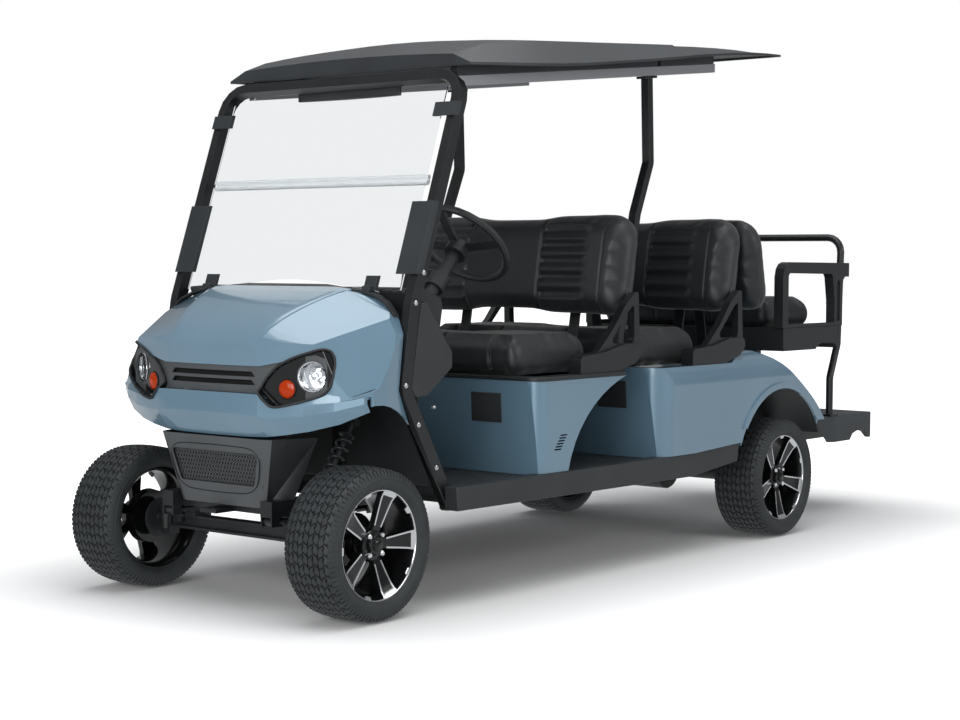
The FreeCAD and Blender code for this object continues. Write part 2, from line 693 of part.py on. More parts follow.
# Frame
rail_out, rail_in = (D.rail_spacing + D.rail_width) / 2, (D.rail_spacing - D.rail_width) / 2
rail_back = R(D.rear_reach - 40)
frame_parts = [box(rail_in, rail_out, F(-D.frame_nose), rail_back, D.rail_bottom, rail_top),
               box(-rail_out, -rail_in, F(-D.frame_nose), rail_back, D.rail_bottom, rail_top)]
cross = D.crossmember_width
nose_cross = F(-84)
for y in (nose_cross, F(380), F(1010), R(-300), R(215), R(D.rear_reach - 40) - cross):
    frame_parts.append(box(-rail_in, rail_in, y, y + cross, D.rail_bottom, rail_top))
for y in (F(420), F(1010), F(1560)):
    for side in (-1, 1):
        a, b = side * rail_out, side * (D.floor_width / 2 - 2)
        frame_parts.append(box(min(a, b, key=float), max(a, b, key=float), y, y + cross,
                               rail_top - D.outrigger_height, rail_top))
for axle, ahead in ((front_axle, D.spring_front_reach), (rear_axle, D.spring_half_length)):
    for y in (axle - ahead, axle + D.spring_half_length):
        for side in (-1, 1):
            mid = side * D.rail_spacing / 2
            for edge in (-1, 1):
                inner = mid + edge * (D.leaf_width / 2 + D.seat_gap)
                outer = mid + edge * (D.leaf_width / 2 + D.seat_gap + D.hanger_plate)
                frame_parts.append(box(min(inner, outer, key=float), max(inner, outer, key=float),
                                       y - 17, y + 17, eye_z - 14, D.rail_bottom))
            frame_parts.append(rod("x", mid - D.leaf_width / 2 - 5, y, eye_z, D.spring_pin_diameter,
                                   D.leaf_width + 10, 12))
post_y = R(418)
tail_z = D.base_top + 36
for side in (-1, 1):
    mid = side * D.rail_spacing / 2
    frame_parts.append(box(mid - cross / 2, mid + cross / 2, post_y, post_y + cross, rail_top, tail_z - 0.3))
    frame_parts.append(box(mid - cross / 2, mid + cross / 2, F(shock_top[0]) - 6, F(shock_top[0]) + 20,
                           rail_top, shock_top[1] + 10))
frame_parts.append(box(-rail_in - 10, rail_in + 10, post_y, post_y + cross, tail_z - cross - 0.3, tail_z - 0.3))
tow_front = F(-D.frame_nose) - 34
tow_plate = box(-38, 38, tow_front, nose_cross + 10, D.rail_bottom, D.rail_bottom + 12)
tow_hole = pin("z", 0, tow_front + 17, D.rail_bottom, D.tow_bore, 12)
node("main_frame", cut(fuse(tow_plate, *frame_parts), tow_hole))

# Floor, rockers and step
floor_back = R(-342)
deck = new_body("floor_deck")
half_floor = D.floor_width / 2
notch_x, notch_y = half_floor - 44, F(D.floor_front + 88)
pad(deck, "XY_Plane", [[(-notch_x, F(D.floor_front)), (notch_x, F(D.floor_front)), (notch_x, notch_y),
    (half_floor, notch_y), (half_floor, floor_back), (-half_floor, floor_back), (-half_floor, notch_y),
    (-notch_x, notch_y)]], D.floor_thickness, rail_top)

rocker = new_body("rocker_panels")
kick_y, low = R(-662), floor_top - D.rocker_height
side_face = [(F(D.floor_front + 8), low + 4), (kick_y, low - 6), (R(-340), low + 26),
             (R(-330), floor_top + 22), (kick_y, floor_top + D.rocker_lip),
             (F(D.floor_front + 2), floor_top + D.rocker_lip)]
rocker_pad = pad(rocker, "YZ_Plane", [side_face], D.rocker_width, half_floor)
rocker_hollow = pocket(rocker, "YZ_Plane", [[(F(D.floor_front + 14), low + 12), (kick_y, low + 2),
                       (R(-350), low + 32), (R(-340), floor_top + 10), (kick_y, floor_top - 6),
                       (F(D.floor_front + 10), floor_top - 6)]], D.rocker_width - 6,
                       half_floor, reverse=True)
mirror_in_body(rocker, [rocker_pad, rocker_hollow])

step = new_body("rear_step")
half_step, wall = D.step_width / 2, D.step_wall
step_low = D.step_top - D.step_drop
step_front = R(D.rear_reach) - D.step_depth
rib_in, rib_out = rail_in, rail_out
comb = [(-half_step, step_low), (-half_step, D.step_top), (half_step, D.step_top), (half_step, step_low),
        (half_step - wall, step_low), (half_step - wall - 30, D.step_top - wall),
        (rib_out, D.step_top - wall), (rib_out, rail_top + D.seat_gap), (rib_in, rail_top + D.seat_gap),
        (rib_in, D.step_top - wall), (-rib_in, D.step_top - wall), (-rib_in, rail_top + D.seat_gap),
        (-rib_out, rail_top + D.seat_gap), (-rib_out, D.step_top - wall),
        (-half_step + wall + 30, D.step_top - wall), (-half_step + wall, step_low)]
pad(step, "XZ_Plane", [comb], D.step_depth, -R(D.rear_reach))
arch_y, arch_low = R(D.rear_reach) - 108, step_low - 1
pocket(step, "YZ_Plane", [[(arch_y - 92, arch_low), (arch_y + 92, arch_low), (arch_y + 66, step_low + 26),
       (arch_y + 26, step_low + 37), (arch_y - 26, step_low + 37), (arch_y - 66, step_low + 26)]],
       2 * D.step_width, D.step_width)
for side in (-1, 1):
    pocket(step, "XY_Plane", [[(side * half_step + side, step_front + 88), (side * half_step + side, step_front - 1),
           (side * (half_step - 46), step_front - 1)]], 2 * D.step_drop, D.step_top + 1)

battery_y = seat_one + 38
node("battery_block", box(-D.battery_width / 2, D.battery_width / 2, battery_y,
                          battery_y + D.battery_depth - 6, floor_top + 0.3, floor_top + D.battery_height))


# Front seat base: a swept pedestal, hollow, open on top for the bin
seat_top = D.base_top + 14


def front_base_block(inset, top, foot):
    half, y = float(D.base_width) / 2 - inset, float(seat_one)
    depth, foot_depth = float(D.base_depth), float(D.base_foot_depth)
    rise = top - foot
    rear = smooth_points([(y + depth - 0.6 * inset, top), (y + 0.71 * depth - inset, foot + 0.8 * rise),
                          (y + 0.52 * depth - inset, foot + 0.56 * rise),
                          (y + 18 + foot_depth - inset, foot)], 10)
    side = prism("x", -half, half, [(y + 18 + inset, foot), (y + inset, top)] + rear)
    plan = rounded([(-half, y + inset), (half, y + inset), (half, y + 700), (-half, y + 700)],
                   [54 - inset, 54 - inset, 0, 0], 7)
    return side.common(prism("z", foot, top, plan))


def louvre(x, y, z):
    """Six short slots, stepped back along the corner of the pedestal."""
    cuts = []
    for k in range(6):
        z0 = z + 9.5 * k
        cuts.append(brick(x - 14, x + 14, y - 26 + 7 * k, y + 14 + 7 * k, z0, z0 + 4.5))
    return cuts


def make_front_base():
    half, wall = float(D.base_width) / 2, float(D.body_wall)
    top, foot, y = float(D.base_top), float(floor_top) + 0.3, float(seat_one)
    outer = front_base_block(0.0, top, foot)
    shell = outer.cut(front_base_block(wall, top + 1, foot - 1))
    rim = brick(3 - half, half - 3, y + 3, y + float(D.base_depth) - 60, top - 26, top - 20)
    well = brick(60 - half, half - 60, y + 50, y + 430, top - 30, top - 10)
    shell = shell.fuse(rim.common(outer).cut(well))
    notch = brick(float(half_floor) - 2, half + 5, y - 10, y + 400, foot - 5, float(floor_top + D.rocker_lip) + 0.5)
    slots = louvre(half, y + 116, 462)
    return joined([shell.cut([notch, other_side(notch)] + slots + [other_side(s) for s in slots])])


node("front_seat_base", formed(make_front_base()))


def make_seat_deck():
    """The moulded shelf that carries the cushion, the struts and the back."""
    half, y, z = float(D.base_width) / 2 + 4, float(seat_one), float(D.base_top)
    plan = rounded([(-half, y - 4), (half, y - 4), (half, y + 512), (560, y + 548), (-560, y + 548),
                    (-half, y + 512)], [58, 58, 24, 10, 10, 24], 5)
    shelf = prism("z", z + 0.3, seat_top, plan)
    well = brick(60 - half, half - 60, y + 50, y + 430, z - 10, z + 40)
    parts, end, wall_y = [shelf.cut(well)], y + float(D.deck_depth), y + float(D.base_depth)
    for x0, x1 in ((232, 288), (425, 485)):
        arm = joined([brick(x0, x1, y + 480, end, z + 0.3, seat_top), brick(x0 + 14, x1 - 14, wall_y + 4, end - 8, z - 22, z + 4)])
        parts += [arm, other_side(arm)]
    return joined(parts)


node("front_seat_deck", formed(make_seat_deck()))


# Rear body: pedestal for the second row, fenders and the deck behind it
arch_centre = (float(R(-8)), 254.0)


def rear_body_block(inset, spread=0.0):
    half, y, axle = float(D.rear_body_width) / 2 - inset + spread, float(seat_two), float(rear_axle)
    top, foot, tail = float(seat_top) - inset, float(floor_top) + 0.3, 452.0
    if inset:
        foot, tail = foot - 4, tail - 4
    crown = smooth_points([(axle - 372, top), (axle - 290, 742 - inset), (axle - 190, 760 - inset),
                           (axle - 90, 738 - inset), (axle + 30, 684 - inset), (axle + 162, 606 - inset),
                           (axle + 266, 534 - inset), (axle + 350 - inset, tail)], 18)
    outline = [(y + 22 + inset, foot), (y + inset, top)] + crown + [(axle + 290, tail), (axle + 270, foot)]
    side = prism("x", -half, half, outline)
    plan = rounded([(-half, y + inset), (half, y + inset), (half, axle + 600), (-half, axle + 600)],
                   [90 - inset, 90 - inset, 0, 0], 7)
    shoulder = smooth_points([(half, 640), (half - 6, 690), (half - 18, 714), (half - 44, 738 - inset),
                              (half - 84, 758 - inset), (half - 150, 776 - inset)], 9)
    front = [(half, foot), *shoulder, *[(-x, z) for x, z in reversed(shoulder)], (-half, foot)]
    return side.common(prism("z", foot, 900, plan)).common(prism("y", y, axle + 600, front))


def wheel_arch(radius, x0, x1, sides=48):
    y, z = arch_centre
    ring = [(y + radius * math.cos(2 * math.pi * k / sides), z + radius * math.sin(2 * math.pi * k / sides))
            for k in range(sides)]
    return prism("x", x0, x1, ring)


def rocker_room():
    """The space of the rockers' upper edge and what bolts to it."""
    over = 0.6
    points = [(float(seat_one) - 60, 300), (float(R(-325)), 300), (float(R(-325)), float(floor_top) + 22 + over),
              (float(kick_y), float(floor_top + D.rocker_lip) + over), (float(seat_one) - 60,
              float(floor_top + D.rocker_lip) + over)]
    return prism("x", float(half_floor) - 2, 700, points)


def make_rear_body():
    half, wall = float(D.rear_body_width) / 2, float(D.body_wall)
    top, y = float(seat_top), float(seat_two)
    outer = rear_body_block(0.0)
    shell = outer.cut(rear_body_block(wall))
    reach = half - float(D.arch_depth)
    liner = wheel_arch(float(D.arch_radius) + wall, reach, half)
    hollow = wheel_arch(float(D.arch_radius), reach + wall, half + 40)
    lip = wheel_arch(float(D.arch_radius) + 24, half - 4, half + 7).common(rear_body_block(0.0, 12))
    lip = lip.cut(brick(0, 900, -2000, 3000, 200, 455))
    added = [s for part in (liner.common(outer), lip) for s in (part, other_side(part))]
    shell = shell.fuse(added).cut([hollow, other_side(hollow)])
    well = brick(70 - half, half - 70, y + 50, y + 430, top - 40, top + 30)
    room = rocker_room()
    return joined([shell.cut([well, room, other_side(room)])])


node("rear_body", formed(make_rear_body()))


def make_panels():
    """Dark square covers on the pedestals' front faces."""
    parts = []
    for x, z, face in ((370, 604, (seat_one, 18.0, 320.0, D.base_top)), (391, 612, (seat_two, 22.0, 334.0, seat_top))):
        y0, run, rise, top = [float(v) for v in face]
        wide, high = float(D.panel_width) / 2, float(D.panel_height) / 2
        def front(level):
            return y0 + (top - level) * run / rise - 0.3
        low, up = z - high, z + high
        parts.append(prism("x", x - wide, x + wide, [(front(low), low), (front(low) - 4, low + 2),
                     (front(up) - 4, up - 2), (front(up), up)]))
    return Part.makeCompound(parts + [other_side(p) for p in parts])


node("pedestal_covers", formed(make_panels()))

# Seats
cushion_z = seat_top + D.seat_gap


def soft_block(x0, x1, y0, y1, z0, z1, radius):
    """A cushion block with chamfered long edges and rounded ends."""
    x0, x1, y0, y1, z0, z1, r = [float(v) for v in (x0, x1, y0, y1, z0, z1, radius)]
    side = prism("x", x0, x1, rounded([(y0, z0), (y0, z1), (y1, z1), (y1, z0)], [r * 0.5, r, r, r * 0.5], 4))
    front = prism("y", y0, y1, rounded([(x0, z0), (x0, z1), (x1, z1), (x1, z0)], [r * 0.5, r, r, r * 0.5], 4))
    plan = prism("z", z0, z1, rounded([(x0, y0), (x1, y0), (x1, y1), (x0, y1)], r * 1.2, 4))
    return side.common(front).common(plan)


def make_cushion(label, front):
    half = D.cushion_width / 2
    y0 = front - 26
    node(label, formed(soft_block(-half, half, y0, y0 + D.cushion_depth, cushion_z,
                                  cushion_z + D.cushion_height, 34)))


make_cushion("front_seat_cushion", seat_one)
make_cushion("second_seat_cushion", seat_two)


def make_back(label, front, low, lean, thick, height):
    """A leaning backrest pad; lean is how far its top stands behind its foot."""
    half, radius = float(D.back_width) / 2, 44.0
    y, z = float(front), float(low)
    lean, thick, height = float(lean), float(thick), float(height)
    outline = [(y, z), (y + lean, z + height), (y + lean + thick, z + height - 6), (y + thick, z - 6)]
    side = prism("x", -half, half, rounded(outline, radius, 5))
    front_view = rounded([(-half, z - 10), (-half, z + height + 2), (half, z + height + 2), (half, z - 10)],
                         [60, 90, 90, 60], 6)
    node(label, formed(side.common(prism("y", y - 400, y + 400, front_view))))


back_low = cushion_z + D.cushion_height + 52
back_one_y = seat_one + D.cushion_depth + 38
back_two_y = seat_two + D.cushion_depth + 38
make_back("front_seat_back", back_one_y, back_low, D.back_lean, D.back_thickness, D.back_height)
make_back("second_seat_back", back_two_y, back_low, D.back_lean, D.back_thickness, D.back_height)
tail_back_y = back_two_y + 2 * D.back_thickness + D.back_gap
make_back("rear_seat_back", tail_back_y, back_low, -1 * D.back_lean, -1 * D.back_thickness + 30, D.back_height)

# Tail box, its cushion, armrests and grab hoop
tail_front = R(D.tail_start)
tail_back = tail_front + D.tail_depth
tail_top = tail_z + D.tail_height
tail = new_body("rear_seat_box")
half_tail, wall = D.tail_width / 2, D.tail_wall
pad(tail, "XY_Plane", [[(-half_tail, tail_front), (half_tail, tail_front), (half_tail, tail_back - 60),
    (half_tail - 60, tail_back), (-half_tail + 60, tail_back), (-half_tail, tail_back - 60)]],
    D.tail_height, tail_z)
inner = [(-half_tail + wall, tail_front + wall), (half_tail - wall, tail_front + wall),
         (half_tail - wall, tail_back - 64), (half_tail - 64, tail_back - wall),
         (-half_tail + 64, tail_back - wall), (-half_tail + wall, tail_back - 64)]
pocket(tail, "XY_Plane", [inner], D.tail_height - wall - 28, tail_top)
pocket(tail, "YZ_Plane", [[(tail_back - 262, tail_z - 1), (tail_back - 62, tail_z - 1), (tail_back - 84, tail_z + 16),
       (tail_back - 118, tail_z + 27), (tail_back - 206, tail_z + 27), (tail_back - 240, tail_z + 16)]],
       2 * D.tail_width, D.tail_width)
tail_cushion_y = tail_front - 34
node("rear_seat_cushion", formed(soft_block(59 - half_tail, half_tail - 59,
     tail_cushion_y, tail_cushion_y + D.cushion_depth - 20, tail_top + D.seat_gap,
     tail_top + D.cushion_height - 14, 34)))

arm = new_body("rear_armrests")
arm_front, arm_back = tail_back - D.armrest_length - 40, tail_back + 34
arm_top = tail_top + D.armrest_height
loop = [(arm_front, tail_top + 0.3), (arm_front, arm_top - 62), (arm_front + 10, arm_top - 28), (arm_front + 30, arm_top - 8),
        (arm_front + 58, arm_top), (arm_back, arm_top - 2), (arm_back, arm_top - 62), (arm_back - 36, arm_top - 62),
        (arm_back - 52, arm_top - 76), (arm_back - 58, arm_top - 110), (arm_back - 58, tail_top + 0.3)]
window = [(arm_front + 46, tail_top + 14), (arm_front + 46, arm_top - 58), (arm_front + 56, arm_top - 46),
          (arm_back - 158, arm_top - 50), (arm_back - 146, arm_top - 64), (arm_back - 128, tail_top + 110),
          (arm_back - 128, tail_top + 14)]
arm_pad = pad(arm, "YZ_Plane", [loop], D.armrest_thickness, half_tail - D.armrest_thickness)
arm_hole = pocket(arm, "YZ_Plane", [window], D.armrest_thickness + 2, half_tail + 1)
arm_slot = pocket(arm, "YZ_Plane", [[(arm_back - 110, tail_top + 20), (arm_back - 110, arm_top - 90),
                  (arm_back - 96, arm_top - 74), (arm_back - 80, arm_top - 92), (arm_back - 80, tail_top + 20)]],
                  12, half_tail + 1)
mirror_in_body(arm, [arm_pad, arm_hole, arm_slot])


def make_hoop():
    half, size = D.hoop_width / 2, ngon(D.hoop_tube, 12)
    foot, low, high, top = (R(756), D.step_top + 0.3), (R(756), 598), (R(822), 745), (R(846), D.hoop_top)
    path = [(side * half, *p) for side, run in ((-1, (foot, low, high, top)), (1, (top, high, low, foot)))
            for p in run]
    bar = tube(bend(path[:3], 60) + bend(path[2:6], 66)[1:-1] + bend(path[5:], 60), size, Vector(1, 0, 0))
    pads = [brick(side * half - 26, side * half + 26, float(R(756)) - 34, float(R(756)) + 34,
                  float(D.step_top) + 0.3, float(D.step_top) + 8) for side in (-1, 1)]
    return joined([bar] + pads)


node("grab_hoop", formed(make_hoop()))


# Hip restraints at the cushions' ends, seat-back brackets
def make_rest(front):
    front, z = float(front), float(seat_top) + 0.3
    x, wide = float(D.base_width) / 2 - float(D.rest_inset), float(D.rest_width) / 2
    pod = rounded([(front + 250, z), (front + 250, z + 50), (front + 262, z + 62), (front + 400, z + 72),
                   (front + 520, z + 96), (front + 628, z + 96), (front + 634, z + 60), (front + 590, z + 26),
                   (front + 480, z)], [0, 8, 8, 40, 40, 20, 20, 40, 0], 3)
    loop = rounded([(front + 256, z + 40), (front + 372, z + 74), (front + 462, z + 150), (front + 540, z + 236),
                    (front + 600, z + 280), (front + 622, z + 280), (front + 634, z + 60)],
                   [0, 60, 60, 60, 20, 10, 0], 3)
    hole = rounded([(front + 438, z + 98), (front + 560, z + 214), (front + 594, z + 238), (front + 598, z + 98)],
                   [14, 30, 8, 20], 3)
    base = prism("x", x - wide, x + wide, pod)
    frame = prism("x", x - wide * 0.55, x + wide * 0.55, loop).cut(prism("x", x - wide - 5, x + wide + 5, hole))
    return joined([base, frame])


rests = [make_rest(front) for front in (seat_one, seat_two)]
body_above = rear_body_block(0.0, 8)
body_above.translate(Vector(0, 0, 0.3))
rests[1] = joined([rests[1].cut(body_above)])
node("hip_restraints", formed(Part.makeCompound(rests + [other_side(r) for r in rests])))


def bracket_bar(face, lean, sign, foot):
    """Two flat bars against a backrest's hidden face; sign says which way it looks."""
    slope, low = float(D.back_lean) / float(D.back_height), float(back_low) - 6
    high = low + 0.55 * float(D.back_height)
    out = []
    for z in (foot, high):
        out.append((face + sign * slope * (z - low), z))
    pts = out + [(out[1][0] + sign * 8, high), (out[0][0] + sign * 8, foot)]
    return [prism("x", x, x + 44, pts) for x in (-282, 238)]


def make_brackets():
    thick, deck = float(D.back_thickness), float(seat_top) + 0.3
    bars = bracket_bar(float(back_one_y) + thick + 0.3, D.back_lean, 1, deck)
    rear = bracket_bar(float(back_two_y) + thick + 0.3, D.back_lean, 1, deck - 20)
    rear += bracket_bar(float(tail_back_y) - thick + 30 - 0.3, D.back_lean, -1, deck - 20)
    bars += [joined([b.cut(body_above)]) for b in rear]
    return Part.makeCompound(bars)


node("seat_back_brackets", formed(make_brackets()))


# Front cowl: hood and fenders in one shell, with the bumper band below
STRUT_RUN = ((384.0, 315.0), (158.0, 702.0), (200.0, 965.0), (446.0, 1668.0), (457.2, 1700.0))
BAND = ((0, (-170, 691), (-176, 628), (-134, 552)), (150, (-169, 691), (-175, 627), (-133, 553)),
        (227, (-166, 690), (-170, 622), (-128, 556)), (300, (-146, 660), (-148, 620), (-116, 566)),
        (380, (-124, 664), (-124, 628), (-96, 580)), (470, (-84, 672), (-84, 645), (-60, 604)),
        (545, (-30, 688), (-30, 668), (-16, 640)))


def strut_y(z):
    """Where the front strut's centre line stands at a height."""
    for (y0, z0), (y1, z1) in zip(STRUT_RUN, STRUT_RUN[1:]):
        if z <= z1:
            return float(front_axle) + y0 + (y1 - y0) * (z - z0) / (z1 - z0)
    return float(front_axle) + STRUT_RUN[-1][0]


def strut_face(z, gap):
    """The strut's front (negative gap) or rear face at a height, with the gap added."""
    half = float(D.strut_depth) / 2
    slope = 0.6 if z < STRUT_RUN[1][1] else 0.35
    reach = half * math.sqrt(1 + slope * slope)
    return strut_y(z) + (reach + gap if gap > 0 else gap - reach)


def cowl_plan(inset, z0=480.0, z1=1100.0):
    half, fy = float(D.cowl_width) / 2 - inset, float(front_axle)
    side = [(half * 0.97, fy + 330), (half, fy + 60), (half * 0.99, fy - 22), (half * 0.74, fy - 96 + inset),
            (half * 0.4, fy - 146 + inset), (0, fy - 162 + inset)]
    side += [(-x, y) for x, y in reversed(side[:-1])]
    return prism("z", z0, z1, smooth_points(side, 29))


def hood_line(inset):
    fy, top = float(front_axle), float(D.cowl_top)
    path = [(fy - 190, 690), (fy - 172 + inset, 800 - inset), (fy - 120 + inset, 874 - inset),
            (fy - 20, 944 - inset), (fy + 110, 1000 - inset), (fy + 262, top - inset)]
    return smooth_points(path, 17)


def cowl_side(inset):
    fy, half, top = float(front_axle), float(D.cowl_width), float(D.cowl_top) - inset
    return prism("x", -half, half, hood_line(inset) + [(fy + 330, top), (fy + 330, 480), (fy - 190, 480)])


def cowl_front(inset):
    """Front outline: a crowned hood falling to full fenders."""
    half, fy, top = float(D.cowl_width) / 2 - inset, float(front_axle), float(D.cowl_top) - inset
    path = [(half + 4, 640), (half - 6, 830), (half - 34, 912), (half * 0.84, 968 - inset),
            (half * 0.55, 1008 - inset), (0, top + 2)]
    path = smooth_points(path + [(-x, z) for x, z in reversed(path[:-1])], 29)
    return prism("y", fy - 300, fy + 400, [(path[0][0], 470)] + path + [(path[-1][0], 470)])


def shoulder_room(inset):
    """Everything above one fender's slope, outside the hood's crease."""
    fy, rings = float(front_axle), []
    line = [p for p in hood_line(0) if p[1] > 700]
    for y, z in [(fy - 200.0, 690.0)] + line + [(fy + 340.0, line[-1][1] + 20)]:
        x, run = 189 + (y - fy + 165) * 0.4, (y - fy + 58) / 241
        fx, fz = 420 + 125 * run, 862 + 84 * run
        fz = min(fz, z - 12 - inset * 0.2)
        side = [(x, z - 2 - inset), (fx - inset * 0.6, fz - inset), (fx + 42 - inset, fz - 85),
                (fx + 90 - inset, fz - 175), (800, fz - 175), (800, 1250), (x, 1250)]
        rings.append([Vector(u, y, w) for u, w in side])
    return rings_to_solid(rings, False)


def cowl_block(inset):
    room = shoulder_room(inset)
    return cowl_plan(inset).common(cowl_side(inset)).common(cowl_front(inset)).cut([room, other_side(room)])


def hood_panel():
    """The raised middle of the hood, between two creases that spread rearwards."""
    fy, rings = float(front_axle), []
    line = [p for p in hood_line(0) if 770 < p[1] and p[0] < fy + 150] + [(fy + 158.0, 0)]
    line[-1] = (line[-1][0], line[-2][1] + (fy + 158 - line[-2][0]) * 0.3)
    for y, z in line:
        x = 164 + (y - fy + 165) * 0.4
        rings.append([Vector(u, y, z + w) for u, w in ((-x - 26, -60), (-x - 26, -2), (-x, 6), (x, 6),
                                                        (x + 26, -2), (x + 26, -60))])
    return rings_to_solid(rings, False)


def strut_room(shift):
    """Everything behind the line where the cowl meets the struts."""
    line = [(strut_face(z, -4) - shift, z) for z in (1060, 965, 702, 640, 575, 480)]
    back = float(front_axle) + 500
    return prism("x", -700, 700, line + [(back, 480), (back, 1060)])


def below_band():
    """The space under the bumper band's top line, in front of the wheels."""
    line = [(x, top[1] + 0.5) for x, top, *rest in BAND] + [(600, 700)]
    outline = [(-x, z) for x, z in reversed(line[1:])] + line
    fy = float(front_axle)
    return prism("y", fy - 300, fy - 4, [(-600, 300)] + outline + [(600, 300)])


def nose_window(grow):
    """Front view of the dark nose area: two slots' panel and the lamp ends."""
    g = grow
    half = [(0, 776 + g), (214 + g, 776 + g), (296, 792 + g), (392 + g * 0.5, 806 + g), (440 + g, 790 + g),
            (452 + g, 752), (430 + g, 708 - g), (372, 676 - g), (300, 664 - g), (252, 668 - g),
            (222, 690 - g), (0, 690 - g)]
    return half + [(-x, z) for x, z in reversed(half[1:-1])]


def make_cowl():
    fy, wall = float(front_axle), float(D.cowl_wall)
    outer = cowl_block(0).fuse(hood_panel().common(cowl_front(-6)).common(cowl_plan(0)))
    shell = outer.cut(cowl_block(wall))
    arch = smooth_points([(fy - 70, 632), (fy - 9, 660), (fy + 60, 659), (fy + 140, 630), (fy + 200, 585),
                          (fy + 240, 520)], 10)
    arch = prism("x", -800, 800, arch + [(fy + 250, 400), (fy - 70, 400)])
    window = prism("y", fy - 300, fy + 40, nose_window(0))
    shell = shell.cut([arch, below_band(), window, strut_room(0),
                       brick(-480, 480, fy - 300, fy + 400, 400, 690), brick(-700, 700, fy + 200, fy + 400, 400, 512)])
    return joined([shell])


node("front_cowl", formed(make_cowl()))


def make_band():
    """The folded bumper band from fender to fender."""
    fy, rings = float(front_axle), []
    stations = [(-s[0],) + s[1:] for s in reversed(BAND[1:])] + list(BAND)
    for x, top, fold, low in stations:
        deep = 7 + abs(x) * 0.012
        ring = [top, fold, low, (low[0] + deep, low[1] + 3), (fold[0] + deep, fold[1]),
                (top[0] + deep, top[1] - 6), (top[0] + 24, top[1] - 6), (top[0] + 24, top[1])]
        rings.append([Vector(x, fy + y, z) for y, z in ring])
    return rings_to_solid(rings, False)


node("bumper_band", formed(make_band()))


def lamp_axis(x):
    """Where the lamp's face meets the nose, and the way it looks."""
    fy = float(front_axle)
    slope = 0.78 if x > 340 else 0.42
    return Vector(x, fy - 158 + 0.00052 * x * x, 0), Vector(slope * 0.62, -1, 0).normalize()


def lamp(x, z, diameter, stand, depth):
    place, way = lamp_axis(x)
    start = Vector(place.x, place.y, z)
    return tube([start - way * depth, start + way * stand], ngon(diameter, 20), Vector(0, 0, 1))


HEAD, SIDE = (383, 748), (303, 708)


def make_nose():
    fy = float(front_axle)
    skin = cowl_plan(9, 640, 830).cut(cowl_plan(17, 630, 840))
    panel = skin.common(prism("y", fy - 300, fy + 30, nose_window(9))).common(cowl_block(5.4))
    cuts = [prism("y", fy - 300, fy + 30, [(-190, z), (190, z), (176, z + 16), (-176, z + 16)])
            for z in (716, 742)]
    for x, z, size in ((*HEAD, D.headlamp_diameter), (*SIDE, D.indicator_diameter)):
        hole = lamp(x, z, float(size) + 0.6, 60, 90)
        cuts += [hole, other_side(hole)]
    return joined([panel.cut(cuts + [below_band()])])


node("nose_panel", formed(make_nose()))


def lamp_pair(x, z, diameter, stand):
    body = lamp(x, z, diameter, stand, 46)
    rim = lamp(x, z, float(diameter) * 0.86, stand + 6, 20)
    return pair(joined([body, rim]))


node("headlamps", formed(lamp_pair(*HEAD, D.headlamp_diameter, 6)))
node("indicator_lamps", formed(lamp_pair(*SIDE, D.indicator_diameter, 8)))


def fascia_y(z):
    return float(front_axle) - 146 + (548 - z) * 0.155


def fascia_block(inset, z0, z1):
    """A leaning tub, wide at the top, whose sides run back past the rails."""
    rings = []
    for z in (z0, z1):
        t = (z - 328) / 220
        y, wide, back = fascia_y(z) + inset, 190 + 60 * t - inset, 250 + 52 * t - inset
        half = [(wide - 35, y), (wide, y + 18), (back, float(front_axle) - 44 + 66 * t + (30 if inset else 0))]
        rings.append([Vector(u, v, z) for u, v in [(-u, v) for u, v in reversed(half)] + half])
    return rings_to_solid(rings, False)


def make_fascia():
    shell = fascia_block(0, 328.0, 548.0).cut(fascia_block(8, 320.0, 560.0))
    room = brick(float(rail_in) - 0.3, 340, -1850, -1500, 300, float(rail_top) + 0.3)
    cross_room = brick(-250, 250, float(nose_cross) - 0.3, -1500, 300, float(rail_top) + 0.3)
    grille = prism("y", -1850, -1700, rounded([(-196, 500), (196, 500), (166, 396), (-166, 396)], 12, 3))
    return joined([shell.cut([room, other_side(room), cross_room, grille])])


def make_grille():
    """A slatted plate behind the opening in the lower fascia."""
    low, high, back = 390.0, 506.0, 8.4
    plate = prism("x", -206, 206, [(fascia_y(low) + back, low), (fascia_y(high) + back, high),
                  (fascia_y(high) + back + 3, high), (fascia_y(low) + back + 3, low)])
    trim = prism("y", -1850, -1650, [(-206, high), (206, high), (176, low), (-176, low)])
    slots = []
    for k in range(8):
        z, reach = 402 + 12.0 * k, 160 + 3.4 * k
        for x in (-reach, -reach / 3 + 3, reach / 3 + 3):
            slots.append(brick(x, x + reach * 2 / 3 - 6, -1850, -1650, z, z + 7))
    return joined([plate.common(trim).cut(slots)])


node("lower_fascia", formed(Part.makeCompound([make_fascia(), make_grille()])))

# Dash, toe board and kick panels
dash = new_body("dash_panel")
toe = 7
dash_side = [(F(D.floor_front - 2), floor_top + D.seat_gap), (F(282), 600), (F(262), 860), (F(242), 960), (F(216), 1000),
             (F(216), 1012), (F(310), 1018), (F(398), 984), (F(404), 950), (F(376), 806), (F(300), 798), (F(272), 850),
             (F(290), 604), (F(D.floor_front + toe), floor_top + D.seat_gap)]
dash_half = 492
pad(dash, "YZ_Plane", [dash_side], 2 * dash_half, -dash_half)
for start in (30, -460):
    pocket(dash, "YZ_Plane", [[(F(300), 900), (F(300), 962), (F(420), 962), (F(420), 848), (F(316), 838)]],
           230, start + 230, reverse=False)

kick = new_body("kick_panels")
kick_face = [(F(231), 970), (F(258), 976), (F(360), 842), (F(385), 813), (F(385), 764), (F(259), 677),
             (F(205), 677), (F(186), 703)]
kick_pad = pad(kick, "YZ_Plane", [kick_face], D.strut_size - 3, strut_x - D.strut_size / 2 + 1)
mirror_in_body(kick, [kick_pad])


